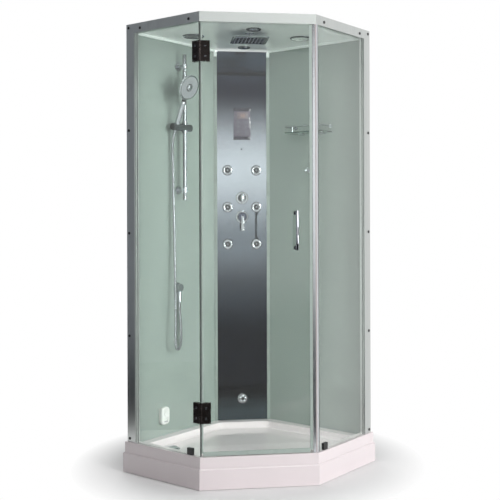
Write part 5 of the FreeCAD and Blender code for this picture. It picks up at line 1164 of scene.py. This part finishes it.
# %% The read-out's bars, the touch marks and the sensor
SEGMENTS = {"top": (0, 8, 8, 1.6), "middle": (0, 0, 8, 1.6), "bottom": (0, -8, 8, 1.6),
            "near_high": (-4.6, 4, 1.6, 6), "far_high": (4.6, 4, 1.6, 6),
            "near_low": (-4.6, -4, 1.6, 6), "far_low": (4.6, -4, 1.6, 6)}
LIT = {-4.5: ("top", "middle", "bottom", "far_high", "far_low"), 10.5: tuple(SEGMENTS)}
bars = []
for across, lit_parts in LIT.items():
    for part in lit_parts:
        side, rise, wide, high = SEGMENTS[part]
        spot = ((across + side) / 1000, PANEL_FACE - 0.0006, READ_OUT_UP + rise / 1000)
        bars.append(thin_plate("bar", spot, (wide, 0.4, high), round_edges=0.0001, segments=1))
finished(joined("panel_bars", bars), "read_out_bars", *ON_PANEL)
marks = []
for row in range(3):
    for side in (-0.022, 0.022):
        spot = (PANEL_MIDDLE + side, PANEL_FACE + 0.0001, 1.774 - row * 0.027)
        marks.append(turned_piece("touch_mark", [(5.2, 0.0), (6.0, 0.0), (6.0, 0.5), (5.2, 0.5),
                                                 (5.2, 0.0)], spot, OUTWARD, 28))
finished(joined("panel_touch_marks", marks), "soft_grey", *ON_PANEL)
fitting("panel_sensor", ("panel_dark", *ON_PANEL), on_column(-1, 1626), OUTWARD, 28,
        (4.2, 0.0), (4.2, 0.8), (3.4, 1.6), (1.0, 1.9))
print("read-out bars", len(bars), "marks", len(marks))

# %% [markdown]
# ## Hinge bolts and plates
#
# Each hinge leaf is held by two bolts. A bolt head is a low turned dome, and its socket is a last
# ring that is pushed in. A raised border crosses each end of a leaf.

# %% Socket bolts
BOLT = [(5.4, -0.3), (5.6, 0.6), (5.0, 1.6), (3.2, 2.1), (2.3, 2.1), (2.2, 0.7)]
HINGE_FEET = (303, 1970)
HINGE_HEIGHT = 96
door_bolts, fixed_bolts = [], []
for foot in HINGE_FEET:
    for share in (0.25, 0.75):
        up = foot + HINGE_HEIGHT * share
        door_bolts.append(turned_piece("door_bolt", BOLT, (-0.24768, -0.46645, up / 1000),
                                       OUTWARD, 24))
        fixed_bolts.append(turned_piece("fixed_bolt", BOLT, on_left_wall(-2.96, 457.37, up),
                                        (-1, -1, 0), 24))
finished(joined("hinge_door_bolts", door_bolts), "dark_metal_and_painted_shade", "black_metal", "door")
finished(joined("hinge_fixed_bolts", fixed_bolts), "dark_metal_and_painted_shade", "black_metal", "cabin")
print("hinge bolts", len(door_bolts) + len(fixed_bolts))

# %% Raised borders of the hinge plates
BORDER_OFF = 44.5
door_borders, fixed_borders = [], []
for foot in HINGE_FEET:
    for side in (-BORDER_OFF, BORDER_OFF):
        up = foot + HINGE_HEIGHT / 2 + side
        door_borders.append(thin_plate("hinge_border", (-0.2461, -0.46695, up / 1000),
                                       (41, 1.4, 4.6), round_edges=0.0005))
        fixed_borders.append(thin_plate("hinge_border", on_left_wall(-3.4, 458.5, up),
                                        (36, 1.4, 4.6), turn=-45, round_edges=0.0005))
finished(joined("hinge_door_borders", door_borders), "bronzed_plate", "black_metal", "door")
finished(joined("hinge_fixed_borders", fixed_borders), "bronzed_plate", "black_metal", "cabin")
print("hinge borders", len(door_borders) + len(fixed_borders))

# %% [markdown]
# ## Gaskets along the glass
#
# Where a pane enters its profile a soft dark lip grips it. From outside, the lips show as thin
# dark lines: beside the strike profile, down both wall uprights and down the hinged corner.
# There they stop above and below each hinge. The door's own edge has a pale lip of the same kind,
# and a flat grey inlay runs down the strike profile.

# %% Gasket lines
HIGH, LOW = 2154, 152
MIDDLE, LENGTH = (HIGH + LOW) / 2, HIGH - LOW


def broken_line(name, across, forward, size, low, high):
    """Upright strips in the hinged corner from a low to a high end, with room for the hinges."""
    spans = ((low, 302), (400, 1969), (2067, high))
    return [thin_plate(name, (across, forward, (foot + top) / 2000), (*size, top - foot))
            for foot, top in spans]


gaskets = [
    thin_plate("gasket", on_right_wall(3.3, 466.2, MIDDLE), (8.4, 1.8, LENGTH), turn=45),
    thin_plate("gasket", on_right_wall(3.4, 71.4, MIDDLE), (2.6, 1.4, LENGTH), turn=45),
    thin_plate("gasket", on_left_wall(3.4, 71.4, MIDDLE), (2.6, 1.4, LENGTH), turn=-45),
]
gaskets += broken_line("gasket", -0.2687, -0.46005, (2.2, 1.2), 153, 2150)
finished(joined("glass_gaskets", gaskets), *BLACK_SEAL)
inlay = thin_plate("strike_inlay", (0.2696, -0.4636, MIDDLE / 1000), (6.2, 1.0, LENGTH))
finished(inlay, "rose_grey_inlay", "aluminium", "cabin")
lips = broken_line("door_lip", -0.2626, -0.4598, (5.6, 1.2), 166, 2149)
finished(joined("door_edge_lips", lips), "clear_vinyl", "seal", "door")
print("gasket length", LENGTH)

# %% [markdown]
# ## Washers, the waste's seat and the outlet's cap
#
# Three small turned things finish the fittings. The handle's posts stand on thin washers. A
# polished ring seats the waste cover in the tray. The steam outlet has a round cap over its
# cup for scented oil, and a dark strip below it paints the shade of the slot its steam leaves by.

# %% Washers, seat and cap
WASHER = [(6.2, -0.2), (10.5, -0.2), (10.8, 1.0), (9.6, 2.0), (6.2, 2.2), (6.2, -0.2)]
washers = [turned_piece("handle_washer", WASHER, (0.174, -0.45949, height), OUTWARD, 36)
           for height in (1.109, 1.271)]
# The washers are chrome darkened as painted shade.
finished(joined("handle_washers", washers), "dark_metal_and_painted_shade", "chrome", "door")
fitting("waste_seat", ("polished_chrome", "chrome", "cabin"), (-0.405, -0.0982, 0.0982), UP, 64,
        (46.6, 0.0), (50.5, 0.0), (51.0, 0.8), (49.6, 1.6), (47.0, 1.7), (46.6, 0.0))
fitting("outlet_oil_cap", ("white_plastic", "white_plastic", "cabin"),
        on_left_wall(238, 34.1, 246), OUT_OF_WALL, 40,
        (13.0, -0.4), (13.2, 1.0), (12.2, 2.2), (8.0, 2.8), (6.0, 2.0), (1.0, 1.9))
# A dark strip standing on the outlet: painted shade of its steam slot.
steam_slot_shade = thin_plate("outlet_slot_shade", on_left_wall(238, 34.1, 207), (26, 1.0, 3.4),
                        turn=45)
finished(steam_slot_shade, "trap_grey", "black_plastic", "cabin")
print("washers", len(washers))

# %% [markdown]
# ## The shelf's edge
#
# Seen along its length a glass shelf is dark green, because the light in it runs the long way.
# A thin strip over the front edge gives that without darkening the whole plate.

# %% The shelf's edge
edge_strip = thin_plate("shelf_front_edge", on_right_wall(346, 117.1, 1698), (204, 0.8, 5.4),
                        turn=-45, round_edges=0.0003)
finished(edge_strip, "deep_green_edge", "clear_glass", "cabin")
print("shelf edge", rounded(edge_strip.dimensions))
